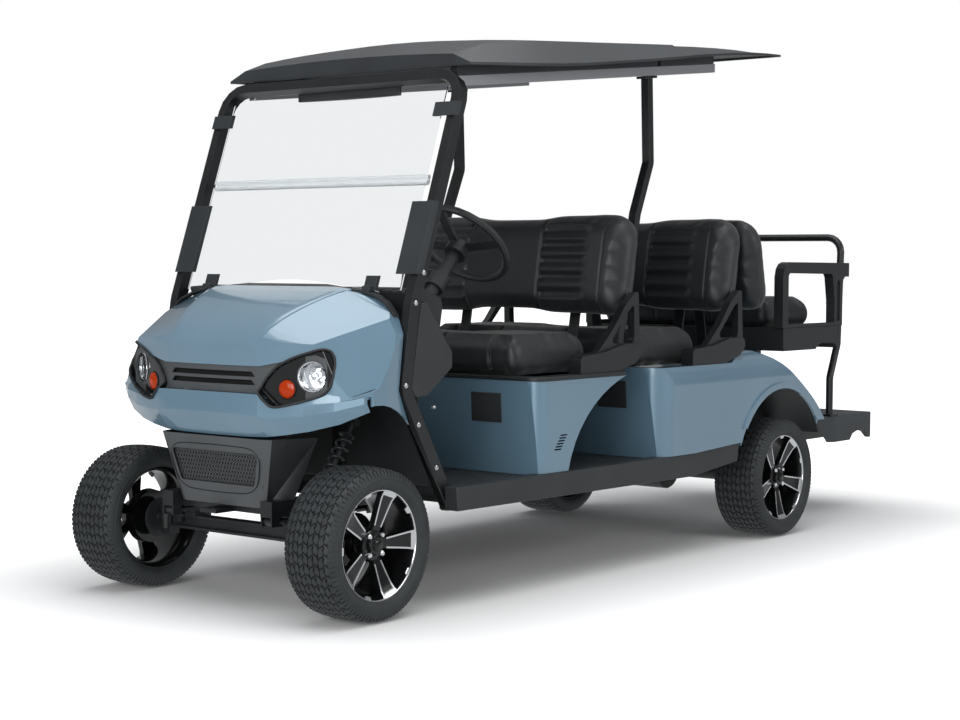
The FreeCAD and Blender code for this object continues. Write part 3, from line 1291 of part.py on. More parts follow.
# Front hoop of square tube
def make_front_hoop():
    fy, x = float(front_axle), float(strut_x)
    run = [(fy + y, z) for y, z in STRUT_RUN if z not in (1668.0,)]
    points = [(-x, *p) for p in run] + [(x, *p) for p in reversed(run)]
    turns = [0, 70, 70, 84, 84, 70, 70, 0]
    path = []
    for i in range(1, len(points) - 1):
        piece = bend(points[i - 1:i + 2], turns[i], 4)
        path += piece[1:-1]
    path = [vec(*points[0])] + path + [vec(*points[-1])]
    bar = tube(path, oblong(D.strut_depth, D.strut_size), Vector(1, 0, 0))
    feet = [brick(side * x - 15, side * x + 15, fy + 356, float(F(420)) - 0.3, 309, 350) for side in (-1, 1)]
    return joined([bar] + feet)


node("front_roof_hoop", formed(make_front_hoop()))


# Windscreen in two panels, its hinge bars and clips
def screen_slab(x0, x1, z0, z1, ahead, thick):
    """A flat piece across the cab, held ahead of the struts' centre line."""
    z0, z1, thick = float(z0), float(z1), float(thick)
    pts = [(strut_y(z0) - ahead, z0), (strut_y(z1) - ahead, z1),
           (strut_y(z1) - ahead + thick, z1), (strut_y(z0) - ahead + thick, z0)]
    return prism("x", float(x0), float(x1), pts)


GLASS_AHEAD = 14.0
glass_half = float(D.glass_width) / 2
split = float(D.glass_split)


def make_windscreen():
    lower = screen_slab(-glass_half, glass_half, D.glass_bottom, split - 6, GLASS_AHEAD, D.glass_thickness)
    upper = screen_slab(-glass_half, glass_half, split + 6, D.glass_top, GLASS_AHEAD, D.glass_thickness)
    return Part.makeCompound([joined([lower.cut(cowl_front(-8))]), upper])


node("windscreen", formed(make_windscreen()))


def make_fittings():
    bars = []
    for z in (split - 9, split + 9):
        y = strut_y(z) - GLASS_AHEAD + float(D.glass_thickness) + 9.3
        bars.append(tube([Vector(-glass_half, y, z), Vector(glass_half, y, z)], ngon(16, 10), Vector(0, 0, 1)))
    bars.append(brick(-glass_half, glass_half, y - 4, y + 4, split - 9, split + 9))
    clips = []
    outer = float(strut_x + D.strut_size / 2) + 3
    for z0, z1 in ((1062, 1292), (1566, 1612)):
        clips.append(joined([screen_slab(466, outer, z0, z1, 32.5, 8), screen_slab(466, 485, z0, z1, 25, 10.6),
                             screen_slab(outer - 2.4, outer, z0, z1, 32.5, 30)]))
    saddle = joined([screen_slab(342, 392, 1008, 1056, 29, 14.6), screen_slab(350, 384, 1000, 1024, 46, 20)])
    seat = cowl_side(-6.5).common(cowl_front(-6.5))
    clips.append(joined([saddle.cut(seat)]))
    return Part.makeCompound([joined(bars)] + clips + [other_side(c) for c in clips])


node("windscreen_fittings", formed(make_fittings()))


def make_cowl_trim():
    """Arched dark strip over the hood's rear edge, under the windscreen."""
    skin = cowl_side(-6).common(cowl_front(-6)).cut(cowl_side(-0.3).common(cowl_front(-0.3)))
    strip = skin.common(strut_room(25)).cut(strut_room(0.5))
    return joined([strip.common(brick(-515, 515, -2000, 0, 930, 1100))])


node("cowl_trim", formed(make_cowl_trim()))


def make_mirror():
    half, y = float(D.mirror_width) / 2, strut_face(1690, 4.4)
    front = smooth_points([(half, y + 16), (half * 0.5, y + 31), (0, y + 36), (-half * 0.5, y + 31), (-half, y + 16)], 9)
    body = prism("z", 1652, 1698, [(-half, y + 6), (half, y + 6)] + front)
    stem = brick(-30, 30, y, y + 10, 1686, 1702)
    return joined([body, stem])


node("mirror", formed(make_mirror()))

# Roof: a crowned shell in two sections on aluminium rails
ROOF = ((-735, 0.91, 1732, 1786), (-603, 0.95, 1740, 1838), (-465, 0.985, 1748, 1862), (-225, 1.0, 1768, 1884),
        (15, 1.0, 1796, 1899), (255, 1.0, 1826, 1914), (498, 0.985, 1858, 1929))
TAIL_ROOF = ((498.3, 0.955, 1859, 1925), (820, 0.91, 1899, 1946), (1140, 0.84, 1932, 1962), (1462, 0.72, 1958, 1974))
middle = (float(front_axle) + float(rear_axle)) / 2


def roof_stations(table, count):
    """Evenly spread stations (y, half width, low edge, crown) along a smooth roof."""
    rows = []
    for k in (1, 2, 3):
        scale = 100.0 if k == 1 else 1.0
        rows.append(smooth_points([(s[0], s[k] * scale) for s in table], 60))
    out = []
    for i in range(count):
        y = table[0][0] + (table[-1][0] - table[0][0]) * i / (count - 1)
        values = []
        for row in rows:
            near = min(range(len(row) - 1), key=lambda j: abs((row[j][0] + row[j + 1][0]) / 2 - y))
            (a, u), (b, v) = row[near], row[near + 1]
            values.append(u + (v - u) * (y - a) / (b - a))
        out.append((y, float(D.roof_half_mid) * values[0] / 100, values[1], values[2]))
    return out


def roof_ring(y, half, low, top, drop, inset, skirt):
    half, top, turn = half - inset, top - drop, 74.0
    shoulder = low + (top - low) * 0.76
    reach = half - turn
    crown = [(-reach * k / 5.0, shoulder + (top - shoulder) * (1 - (k / 5.0) ** 2)) for k in range(-5, 6)]
    pts = [(half, low - skirt), (half, low + 9 - drop * 0.4)] + crown + [(-half, low + 9 - drop * 0.4), (-half, low - skirt)]
    return [Vector(x, middle + y, z) for x, z in pts]


def make_roof(table, count, ribs, ends):
    skin, rows = float(D.roof_skin), roof_stations(table, count)
    outer = rings_to_solid([roof_ring(*row, 0, 0, 0) for row in rows], False)
    deep = rings_to_solid([roof_ring(*row, 0, 0, 90) for row in rows], False)
    inner_rows = [list(row) for row in rows]
    inner_rows[0][0] += ends[0]
    inner_rows[-1][0] += ends[1]
    inner = rings_to_solid([roof_ring(*row, skin, skin, 1) for row in inner_rows], False)
    y0, y1 = middle + max(ribs[0] - 30, table[0][0] + 1), middle + ribs[-1] + 20
    parts = [outer.cut(inner)]
    for x in (-455, 455):
        strip = prism("x", x - 16, x + 16, [(y0, roof_rail_z(y0) + 0.3), (y1, roof_rail_z(y1) + 0.3),
                      (y1, 2100), (y0, 2100)])
        parts.append(strip.common(deep))
    for y in ribs:
        z = roof_rail_z(middle + y)
        parts.append(brick(-455, 455, middle + y, middle + y + 12, z + 34, 2100).common(outer))
    return joined(parts)


def roof_rail_z(y):
    return 1712 + 0.1097 * (y - middle + 633)


node("roof_front", formed(make_roof(ROOF, 11, [-670, -500, -340, -180, -20, 140, 300, 462], (12, 1))))
node("roof_rear", formed(make_roof(TAIL_ROOF, 6, [530, 640, 750, 856], (-1, -12))))


def make_rails():
    wide, high, x = float(D.roof_rail_width), float(D.roof_rail_height), 455.0
    y0, y1 = strut_face(1690, 4.4), middle + 889
    rail = prism("x", x - wide / 2, x + wide / 2, [(y0, roof_rail_z(y0) - high), (y1, roof_rail_z(y1) - high),
                 (y1, roof_rail_z(y1)), (y0, roof_rail_z(y0))])
    return pair(rail)


node("roof_rails", formed(make_rails()))


def make_mid_struts():
    y, x = float(seat_one), 455.0
    deck, top_y = float(seat_top) + 0.3, middle + 430
    top = roof_rail_z(top_y) - float(D.roof_rail_height) - 3
    points = [(x, y + 660, deck - 4), (x, y + 674, 846), (x, y + 695, 892), (x, y + 778, 1281), (x, y + 863, 1474),
              (x, top_y, top)]
    path = [vec(*points[0])]
    for i in (1, 2, 3, 4):
        path += bend(points[i - 1:i + 2], 40, 3)[1:-1]
    leg = tube(path + [vec(*points[-1])], oblong(D.strut_size, D.strut_size), Vector(1, 0, 0))
    cap_y = (top_y - 40, top_y + 40)
    cap = prism("x", x - 20, x + 20, [(cap_y[0], roof_rail_z(cap_y[0]) - float(D.roof_rail_height) - 9),
                (cap_y[1], roof_rail_z(cap_y[1]) - float(D.roof_rail_height) - 9),
                (cap_y[1], roof_rail_z(cap_y[1]) - float(D.roof_rail_height) - 0.3),
                (cap_y[0], roof_rail_z(cap_y[0]) - float(D.roof_rail_height) - 0.3)])
    foot = brick(x - 26, x + 26, y + 636, y + 678, deck, deck + 6)
    leg = leg.cut(brick(x - 40, x + 40, y, y + 900, deck - 60, deck))
    return pair(joined([leg, cap, foot]))


node("mid_roof_struts", formed(make_mid_struts()))

# Steering column and wheel
wheel_x = 310.0
column_way = Vector(0, math.cos(math.radians(46)), math.sin(math.radians(46)))
ring_centre = vec(wheel_x, middle - 483, 1162.5)


def make_column():
    hub_foot = ring_centre - column_way * 60.6
    def stage(a, b, diameter):
        return tube([hub_foot - column_way * a, hub_foot - column_way * b], ngon(diameter, 14), Vector(1, 0, 0))
    fy = float(front_axle)
    bracket = prism("x", wheel_x - 27, wheel_x + 27, [(fy + 402.6, 940), (fy + 378.6, 815), (fy + 437, 832),
                    (fy + 492, 905), (fy + 482, 938)])
    return joined([stage(0, 340, D.column_diameter), stage(90, 150, 68), bracket])


node("steering_column", formed(make_column()))


def make_wheel_ring():
    radius, grip = float(D.wheel_ring_diameter) / 2, float(D.wheel_grip) / 2
    path = [Vector((radius - grip) * math.cos(2 * math.pi * k / 28), (radius - grip) * math.sin(2 * math.pi * k / 28), 0)
            for k in range(28)]
    shape = [tube(path, ngon(2 * grip, 8), Vector(0, 0, 1), True),
             tube([Vector(0, 0, -52), Vector(0, 0, -8)], ngon(80, 14), Vector(1, 0, 0)),
             tube([Vector(0, 0, -60), Vector(0, 0, -50)], ngon(36, 14), Vector(1, 0, 0))]
    for angle in (0, 180, 270):
        spoke = Part.makeBox(radius - grip - 22, 34, 9, Vector(22, -17, -26))
        spoke.rotate(Vector(0, 0, -26), Vector(0, 1, 0), -7.5)
        spoke.rotate(Vector(), Vector(0, 0, 1), angle)
        shape.append(spoke)
    return joined(shape)


ring = formed(make_wheel_ring())
ring.Placement = Placement(ring_centre, Rotation(Vector(0, 0, 1), column_way))
node("steering_wheel", ring)


def make_pedals():
    shapes = []
    for x, wide in ((250, 84), (372, 56)):
        arm_bar = prism("x", x - 8, x + 8, [(F(288.8), 626), (F(287.9), 640), (F(444), 512), (F(436), 500)])
        plate = prism("x", x - wide / 2, x + wide / 2, [(F(420), 540), (F(428), 546), (F(470), 470), (F(462), 466)])
        shapes.append(joined([arm_bar, plate]))
    return Part.makeCompound(shapes)


node("pedals", formed(make_pedals()))

doc.recompute()
for obj in doc.Objects:
    if "Invalid" in obj.State or "Error" in obj.State:
        raise RuntimeError(f"{obj.Name} ({obj.Label}) did not rebuild: {obj.State}")
os.makedirs("parts", exist_ok=True)
for label, obj in NODES.items():
    shape = obj.Shape
    if shape.isNull() or not shape.isValid() or not shape.Solids:
        raise RuntimeError(f"{label} has no valid solid")
for label, obj in NODES.items():
    obj.Shape.exportStep(f"parts/{label}.step")
    bounds = obj.Shape.BoundBox
    print(f"{label:24s} {len(obj.Shape.Solids):2d} {obj.Shape.Volume / 1e6:9.3f} L  "
          f"{bounds.XMin:8.1f} {bounds.XMax:8.1f}  {bounds.YMin:8.1f} {bounds.YMax:8.1f}  "
          f"{bounds.ZMin:7.1f} {bounds.ZMax:7.1f}")
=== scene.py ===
import json
import math
import bmesh
import bpy
from mathutils import Matrix, Vector
from mathutils.bvhtree import BVHTree


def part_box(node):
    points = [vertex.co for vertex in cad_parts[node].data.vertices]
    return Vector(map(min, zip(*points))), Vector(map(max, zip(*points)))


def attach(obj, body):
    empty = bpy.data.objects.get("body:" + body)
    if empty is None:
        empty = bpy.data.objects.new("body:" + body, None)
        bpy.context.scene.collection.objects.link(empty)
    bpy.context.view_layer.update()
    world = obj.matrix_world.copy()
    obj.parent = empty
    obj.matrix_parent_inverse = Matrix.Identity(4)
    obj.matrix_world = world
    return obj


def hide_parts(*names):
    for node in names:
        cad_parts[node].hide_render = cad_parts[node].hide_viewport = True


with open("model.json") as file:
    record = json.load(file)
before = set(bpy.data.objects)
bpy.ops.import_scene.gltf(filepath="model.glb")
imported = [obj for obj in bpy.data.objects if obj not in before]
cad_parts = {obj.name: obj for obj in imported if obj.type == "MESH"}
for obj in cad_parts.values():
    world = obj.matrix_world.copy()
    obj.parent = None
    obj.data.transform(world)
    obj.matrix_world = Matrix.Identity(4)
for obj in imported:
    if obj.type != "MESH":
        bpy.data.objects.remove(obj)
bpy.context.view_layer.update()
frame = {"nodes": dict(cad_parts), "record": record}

# Six-seat golf cart. The nose faces -Y, +X is the vehicle's left, the wheels
# stand on Z = 0, and all lengths are in metres.
NODES = frame["nodes"]
BODY_OF = {n: body for body, names in frame["record"]["behaviour"]["bodies"].items() for n in names}
SLOT_OF = {s["node"]: s["material_slot"] for s in frame["record"]["subparts"]}
MM = 0.001
SCENE = bpy.context.scene
SCENE.view_settings.view_transform = "Standard"

# ------ camera
CAMERA_PLACE = (4.3112, -5.8183, 1.0983)
AZIMUTH, DOWN, ROLL = 38.6253, 3.0011, 0.2403
FOCAL, SENSOR, SHIFT = 69.54, 36.0, (0.6 / 960, -0.1 / 960)


def linked(name, data):
    """A new object in the scene."""
    obj = bpy.data.objects.new(name, data)
    SCENE.collection.objects.link(obj)
    return obj


def add_camera():
    data = bpy.data.cameras.new("photo_camera")
    data.lens, data.sensor_width = FOCAL, SENSOR
    data.shift_x, data.shift_y = SHIFT
    camera = linked("photo_camera", data)
    turn = Matrix.Rotation(math.radians(AZIMUTH), 4, "Z") @ Matrix.Rotation(math.radians(90 - DOWN), 4, "X")
    camera.matrix_world = Matrix.Translation(CAMERA_PLACE) @ turn @ Matrix.Rotation(math.radians(ROLL), 4, "Z")
    SCENE.camera = camera


add_camera()


# ------ materials
def linear(hex_colour):
    """An sRGB hex colour as linear RGBA."""
    out = []
    for i in (1, 3, 5):
        c = int(hex_colour[i:i + 2], 16) / 255
        out.append(c / 12.92 if c <= 0.04045 else ((c + 0.055) / 1.055) ** 2.4)
    return (*out, 1.0)


def add(tree, kind, **values):
    """One node. Small names are its properties; capital names and i0 to i2 are inputs: values or outputs."""
    node = tree.nodes.new(kind)
    for key, value in values.items():
        if key in ("i0", "i1", "i2"):
            socket = node.inputs[int(key[1])]
        elif key[0].isupper():
            socket = node.inputs[key.replace("_", " ")]
        else:
            setattr(node, key, value)
            continue
        if isinstance(value, bpy.types.NodeSocket):
            tree.links.new(value, socket)
        else:
            socket.default_value = value
    return node


def flow(tree, kind, **values):
    """The first output of one node."""
    return add(tree, kind, **values).outputs[0]


class Finish:
    """A Principled material and the steps that build it up."""

    def __init__(self, name, colour, **shader):
        self.material = bpy.data.materials.new(name)
        self.material.use_nodes = True
        self.tree = self.material.node_tree
        self.inputs = self.tree.nodes["Principled BSDF"].inputs
        for key, value in {"Base_Color": linear(colour), **shader}.items():
            self.inputs[key.replace("_", " ")].default_value = value
        self.where = add(self.tree, "ShaderNodeTexCoord").outputs["Object"]

    def drift(self, size, detail=2.0, rough=0.5, where=None):
        """Soft noise whose blobs are about size metres across."""
        return flow(self.tree, "ShaderNodeTexNoise", Vector=self.where if where is None else where, Scale=1 / size,
                    Detail=detail, Roughness=rough)

    def grain(self, size):
        """Moulded grain: small rounded cells."""
        return flow(self.tree, "ShaderNodeTexVoronoi", feature="SMOOTH_F1", Vector=self.where, Scale=1 / size,
                    Smoothness=0.6)

    def tinted(self, factor, dark, light):
        """Base colour that drifts between two tones."""
        ramp = add(self.tree, "ShaderNodeValToRGB", Fac=factor)
        first, last = ramp.color_ramp.elements
        first.position, last.position = 0.3, 0.7
        first.color, last.color = linear(dark), linear(light)
        self.tree.links.new(ramp.outputs["Color"], self.inputs["Base Color"])

    def ranged(self, factor, low, high):
        """Roughness that drifts between two values."""
        self.tree.links.new(flow(self.tree, "ShaderNodeMapRange", Value=factor, To_Min=low, To_Max=high),
                            self.inputs["Roughness"])

    def bumped(self, height, strength, distance, below=None):
        """Bump whose height is in metres; several can be stacked."""
        bump = add(self.tree, "ShaderNodeBump", Strength=strength, Distance=distance, Height=height)
        if below is not None:
            self.tree.links.new(below, bump.inputs["Normal"])
        self.tree.links.new(bump.outputs["Normal"], self.inputs["Normal"])
        return bump.outputs["Normal"]


def paint_material():
    # Two-stage car paint sprayed on moulded panels: a clear coat over a faint
    # flake gives a sharp highlight on top of a soft satin body colour.
    paint = Finish("car_paint_slate_blue", "#6E8C9E", Roughness=0.34, Metallic=0.22, Coat_Weight=1.0,
                   Coat_Roughness=0.05, IOR=1.5)
    paint.tinted(paint.drift(0.5), "#607E91", "#688699")
    peel = paint.bumped(paint.drift(7 * MM, 1.0), 0.05, 0.4 * MM)
    paint.bumped(paint.drift(1.4 * MM, 1.0), 0.06, 0.1 * MM, peel)
    return paint.material


def clouded(name, dark, light, roughness, spread, ior, blob, detail, rough=0.5):
    """A finish whose tone and roughness drift together; spread is how far roughness falls and rises."""
    finish = Finish(name, light, Roughness=roughness, IOR=ior)
    cloud = finish.drift(blob, detail, rough)
    finish.tinted(cloud, dark, light)
    finish.ranged(cloud, roughness - spread[0], roughness + spread[1])
    return finish


def plastic_material(name, dark, light, roughness, cell, strength=0.35):
    # Injection-moulded polypropylene with a spark-eroded grain: dull, with a
    # broad soft highlight and slight scuffs that shine a little more.
    plastic = clouded(name, dark, light, roughness, (0.06, 0.06), 1.49, 0.18, 4.0)
    plastic.bumped(plastic.grain(cell), strength, 0.25 * MM)
    return plastic.material


def coated_material(name, dark, light, roughness):
    # Powder coat on steel: even satin film with a fine orange peel.
    coat = clouded(name, dark, light, roughness, (0.05, 0.05), 1.5, 0.12, 3.0)
    coat.bumped(coat.drift(2.2 * MM), 0.18, 0.3 * MM)
    return coat.material


def vinyl_material(name, dark, light):
    # Embossed marine vinyl over foam: a leathery pebble of about 1.5 mm and
    # broad soft highlights where the cover is pulled tight.
    vinyl = clouded(name, dark, light, 0.42, (0.04, 0.08), 1.5, 0.16, 3.0)
    vinyl.inputs["Sheen Weight"].default_value = 0.12
    soft = vinyl.bumped(vinyl.drift(30 * MM, 3.0), 0.25, 2.5 * MM)
    vinyl.bumped(vinyl.grain(1.7 * MM), 0.4, 0.25 * MM, soft)
    return vinyl.material


def rubber_material(name, dark, light, roughness, cell):
    # Cured carbon-black rubber: matt, a little grey where road dust stays.
    rubber = clouded(name, dark, light, roughness, (0.1, 0.08), 1.52, 0.05, 5.0, 0.6)
    rubber.bumped(rubber.drift(cell, 3.0), 0.3, 0.3 * MM)
    return rubber.material


def metal_material(name, colour, roughness, stretch=(1, 1, 1), size=2 * MM, strength=0.15):
    # Bare metal; stretch draws the marks of turning, brushing or drawing.
    metal = Finish(name, colour, Roughness=roughness, Metallic=1.0)
    along = flow(metal.tree, "ShaderNodeMapping", Vector=metal.where, Scale=stretch)
    lines = metal.drift(size, 3.0, where=along)
    metal.ranged(lines, roughness * 0.75, roughness * 1.3)
    metal.bumped(lines, strength, 0.1 * MM)
    return metal.material


def glass_material(name, colour, roughness, ior, ripple, clear=1.0):
    # Clear acrylic sheet or lens: mostly seen by its edges and reflections.
    glass = Finish(name, colour, Roughness=roughness, IOR=ior, Transmission_Weight=clear)
    glass.bumped(glass.drift(ripple, 1.0), 0.02, 0.3 * MM)
    return glass.material


PAINT = paint_material()
BLACK = plastic_material("moulded_black_polypropylene", "#17191B", "#1F2224", 0.5, 1.3 * MM)
DARK = plastic_material("moulded_charcoal_polypropylene", "#222527", "#2B2E30", 0.5, 1.4 * MM)
NOSE_GREY = plastic_material("moulded_grey_polypropylene", "#414446", "#4B4E50", 0.48, 1.4 * MM)
CLAMP = plastic_material("slate_grey_nylon", "#22272A", "#2B3033", 0.46, 1.4 * MM)
STEP_GREY = plastic_material("rotomoulded_grey_polyethylene", "#2E3234", "#373B3E", 0.55, 1.8 * MM)
ROOF = plastic_material("thermoformed_charcoal_sheet", "#26292C", "#2E3235", 0.5, 1.6 * MM, 0.25)
POWDER = coated_material("black_powder_coat", "#101214", "#181B1D", 0.36)
CAST = coated_material("black_painted_casting", "#141617", "#1E2123", 0.55)
SPRING = coated_material("dark_spring_steel", "#1C1F21", "#2A2E30", 0.42)
VINYL = vinyl_material("marine_vinyl_black", "#131618", "#1B1F21")
TYRE = rubber_material("tyre_tread_rubber", "#1D2123", "#2B3032", 0.66, 2.5 * MM)
MAT = rubber_material("ribbed_floor_rubber", "#191B1D", "#25282A", 0.55, 3 * MM)
GLOSS = coated_material("gloss_black_wheel_paint", "#0B0C0D", "#101112", 0.16)
FACE = metal_material("turned_aluminium_face", "#E4E6E8", 0.22, (1, 8, 8), 1.5 * MM)
CHROME = metal_material("chromed_steel", "#E9EAEC", 0.09, (1, 1, 1), 3 * MM, 0.04)
BOLT = metal_material("zinc_plated_steel", "#C9CCCE", 0.28)
ALUMINIUM = metal_material("drawn_aluminium_rail", "#C4C7CA", 0.32, (12, 1, 12), 4 * MM)
SCREEN = glass_material("clear_acrylic_sheet", "#EDEFF0", 0.02, 1.12, 120 * MM)
HINGE_BAR = Finish("frosted_polycarbonate_bar", "#DCDFE1", Roughness=0.25, IOR=1.5).material
LENS = glass_material("clear_polycarbonate_lens", "#F7F9FA", 0.02, 1.3, 9 * MM)
AMBER = glass_material("amber_polycarbonate_lens", "#E34A0A", 0.08, 1.35, 6 * MM, 0.55)
# Near-black finish for painted shade: groove floors, plates where there is only shade, and shaded grooves.
SHADE = plastic_material("black_inner_shade", "#060708", "#0B0C0D", 0.8, 2 * MM)
BATTERY = plastic_material("battery_case_plastic", "#1B1E20", "#26292B", 0.5, 2 * MM)
SLOT_LOOK = {"blue_paint": PAINT, "black_frame": POWDER, "black_plastic": BLACK, "dark_grey_plastic": DARK,
             "grey_plastic": STEP_GREY, "roof_plastic": ROOF, "floor_rubber": MAT, "black_vinyl": VINYL,
             "tyre_rubber": TYRE, "wheel_alloy": GLOSS, "cast_steel": CAST, "spring_steel": SPRING,
             "rail_aluminium": ALUMINIUM, "clear_glass": SCREEN, "lamp_clear": LENS, "lamp_amber": AMBER,
             "mirror_shell": DARK, "battery_case": BATTERY}
for name, cad in NODES.items():
    cad.data.materials.clear()
    cad.data.materials.append(SLOT_LOOK[SLOT_OF[name]])


# ------ mesh helpers
def raw_mesh(name, part):
    mesh = bpy.data.meshes.new(name)
    mesh.from_pydata([tuple(v) for v in part[0]], [], part[1])
    return mesh


def outward(mesh, weld=True):
    """Turns a mesh's normals outwards, after joining equal vertices."""
    bm = bmesh.new()
    bm.from_mesh(mesh)
    if weld:
        bmesh.ops.remove_doubles(bm, verts=bm.verts, dist=1e-6)
    bmesh.ops.recalc_face_normals(bm, faces=bm.faces)
    bm.to_mesh(mesh)
    bm.free()
    return mesh


def baked(obj):
    """An object's mesh with its modifiers applied."""
    return bpy.data.meshes.new_from_object(obj.evaluated_get(bpy.context.evaluated_depsgraph_get()))


def settled(name, mesh, look, body, sharp=32.0, closed=True):
    """An object from a mesh that rides on a body and takes a slot's finish; sharp is in degrees."""
    if closed:
        outward(mesh)
    mesh.materials.clear()
    mesh.materials.append(look)
    mesh.polygons.foreach_set("use_smooth", [True] * len(mesh.polygons))
    mesh.set_sharp_from_angle(angle=math.radians(sharp))
    obj = linked(name, mesh)
    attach(obj, body)
    return obj


def piece(name, part, look, body, sharp=32.0):
    return settled(name, raw_mesh(name, part), look, body, sharp)


def fixed(name, part, look, sharp=32.0):
    """A piece that rides on the chassis."""
    return piece(name, part, look, "chassis", sharp)


def turns(count, start=0):
    """The angles of even steps round a full turn."""
    return [2 * math.pi * (k + start) / count for k in range(count)]


def loft(rings, caps=True, around=False):
    """Vertices and faces of a skin over rings of equal length; around joins the last ring to the first."""
    count, verts, faces = len(rings[0]), [v for ring in rings for v in ring], []
    for i in range(len(rings) if around else len(rings) - 1):
        n = (i + 1) % len(rings)
        for j in range(count):
            k = (j + 1) % count
            faces.append((i * count + j, i * count + k, n * count + k, n * count + j))
    if caps:
        faces += [tuple(range(count)), tuple(range((len(rings) - 1) * count, len(rings) * count))]
    return verts, faces


def spun(profile, sides, centre):
    """A closed profile of (x, radius) turned round the X axis through a centre."""
    cx, cy, cz = centre
    return loft([[(cx + x, cy + r * math.cos(a), cz + r * math.sin(a)) for x, r in profile] for a in turns(sides)],
                False, True)


def pipe(path, radius, sides, closed=False):
    """Round bar along points; radius may be a number or one for each point."""
    path, rings = [Vector(p) for p in path], []
    count = len(path)
    radii = radius if isinstance(radius, list) else [radius] * count
    way = (path[1] - path[0]).normalized()
    side = way.orthogonal().normalized()
    for i, p in enumerate(path):
        a = path[i - 1] if closed or i else path[0]
        b = path[(i + 1) % count] if closed or i < count - 1 else path[-1]
        new = (b - a).normalized()
        side = way.rotation_difference(new) @ side
        side = (side - new * side.dot(new)).normalized()
        way, up = new, new.cross(side)
        rings.append([p + (side * math.cos(t) + up * math.sin(t)) * radii[i] for t in turns(sides)])
    return loft(rings, not closed, closed)


def merged(parts):
    """Several (vertices, faces) pairs as one."""
    verts, faces = [], []
    for v, f in parts:
        base = len(verts)
        verts += [tuple(p) for p in v]
        faces += [tuple(base + i for i in face) for face in f]
    return verts, faces


def flipped(part):
    """The mirror image across the middle of the cart."""
    verts, faces = part
    return [(-v[0], v[1], v[2]) for v in verts], [tuple(reversed(f)) for f in faces]


def both_sides(*parts):
    """Some parts and their mirror images."""
    whole = merged(parts)
    return merged([whole, flipped(whole)])


def slab(points, x0, x1):
    """A side outline (y, z) pushed out from x0 to x1."""
    return loft([[(x, y, z) for y, z in points] for x in (x0, x1)])


def block(x0, x1, y0, y1, z0, z1):
    return slab([(y0, z0), (y1, z0), (y1, z1), (y0, z1)], x0, x1)


def islands(bm):
    """The separate shells of a mesh, each as a list of faces."""
    left, found = set(bm.faces), []
    while left:
        todo, shell = [left.pop()], []
        while todo:
            face = todo.pop()
            shell.append(face)
            for edge in face.edges:
                for near in edge.link_faces:
                    if near in left:
                        left.remove(near)
                        todo.append(near)
        found.append(shell)
    return found


def dressed(name, width, look=None, corner=28.0, shade=38.0, suffix="skin", keep=None, replace=True):
    """The CAD piece with merged faces, edges rounded to a width in mm and even shading, in its place.

    keep may pick some of its solids by their sizes along X, Y and Z."""
    cad = NODES[name]
    bm = bmesh.new()
    bm.from_mesh(cad.data)
    bmesh.ops.remove_doubles(bm, verts=bm.verts, dist=1e-5)
    if keep:
        drop = []
        for shell in islands(bm):
            spread = [[v.co[i] for face in shell for v in face.verts] for i in range(3)]
            if not keep(Vector([max(s) - min(s) for s in spread])):
                drop += shell
        bmesh.ops.delete(bm, geom=drop, context="FACES")
    bmesh.ops.dissolve_limit(bm, angle_limit=math.radians(0.6), verts=bm.verts, edges=bm.edges)
    mesh = bpy.data.meshes.new(f"{name}_{suffix}")
    bm.to_mesh(mesh)
    bm.free()
    slot = SLOT_OF[name]
    obj = settled(f"{name}_{suffix}", mesh, look or SLOT_LOOK[slot], BODY_OF[name], shade, False)
    bevel = obj.modifiers.new("edges", "BEVEL")
    bevel.width, bevel.segments, bevel.limit_method = width * MM, 2, "ANGLE"
    bevel.angle_limit, bevel.use_clamp_overlap = math.radians(corner), True
    obj.modifiers.new("even_shading", "WEIGHTED_NORMAL").keep_sharp = True
    if replace:
        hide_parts(name)


# ------ node trees for what repeats
def start_tree(name, kinds):
    """A tree that takes a shape, named values and a material; returns it, its inputs and its output node."""
    tree = bpy.data.node_groups.new(name, "GeometryNodeTree")
    face = tree.interface
    for label, kind in (("Shape", "Geometry"), *kinds, ("Material", "Material")):
        face.new_socket(label, in_out="INPUT", socket_type="NodeSocket" + kind)
    face.new_socket("Geometry", in_out="OUTPUT", socket_type="NodeSocketGeometry")
    return tree, add(tree, "NodeGroupInput").outputs, add(tree, "NodeGroupOutput")


def end_tree(tree, copies, inputs, out):
    real = flow(tree, "GeometryNodeRealizeInstances", Geometry=copies)
    done = flow(tree, "GeometryNodeSetMaterial", Geometry=real, Material=inputs["Material"])
    tree.links.new(done, out.inputs["Geometry"])
    return tree


def round_tree():
    """Copies of one shape, turned evenly about an axle along X."""
    tree, inputs, out = start_tree("copies_round_axle", (("Count", "Int"), ("Axle", "Vector")))
    points = flow(tree, "GeometryNodePoints", Count=inputs["Count"], Position=inputs["Axle"])
    index = flow(tree, "GeometryNodeInputIndex")
    share = flow(tree, "ShaderNodeMath", operation="DIVIDE", i0=index, i1=inputs["Count"])
    angle = flow(tree, "ShaderNodeMath", operation="MULTIPLY", i0=share, i1=2 * math.pi)
    turn = flow(tree, "ShaderNodeCombineXYZ", X=angle)
    copies = flow(tree, "GeometryNodeInstanceOnPoints", Points=points, Instance=inputs["Shape"], Rotation=turn)
    return end_tree(tree, copies, inputs, out)


def row_tree():
    """Copies of one shape at even steps along a line."""
    tree, inputs, out = start_tree("copies_in_row", (("Count", "Int"), ("Step", "Vector")))
    line = flow(tree, "GeometryNodeMeshLine", Count=inputs["Count"], Offset=inputs["Step"])
    copies = flow(tree, "GeometryNodeInstanceOnPoints", Points=line, Instance=inputs["Shape"])
    return end_tree(tree, copies, inputs, out)


ROUND_TREE, ROW_TREE = round_tree(), row_tree()


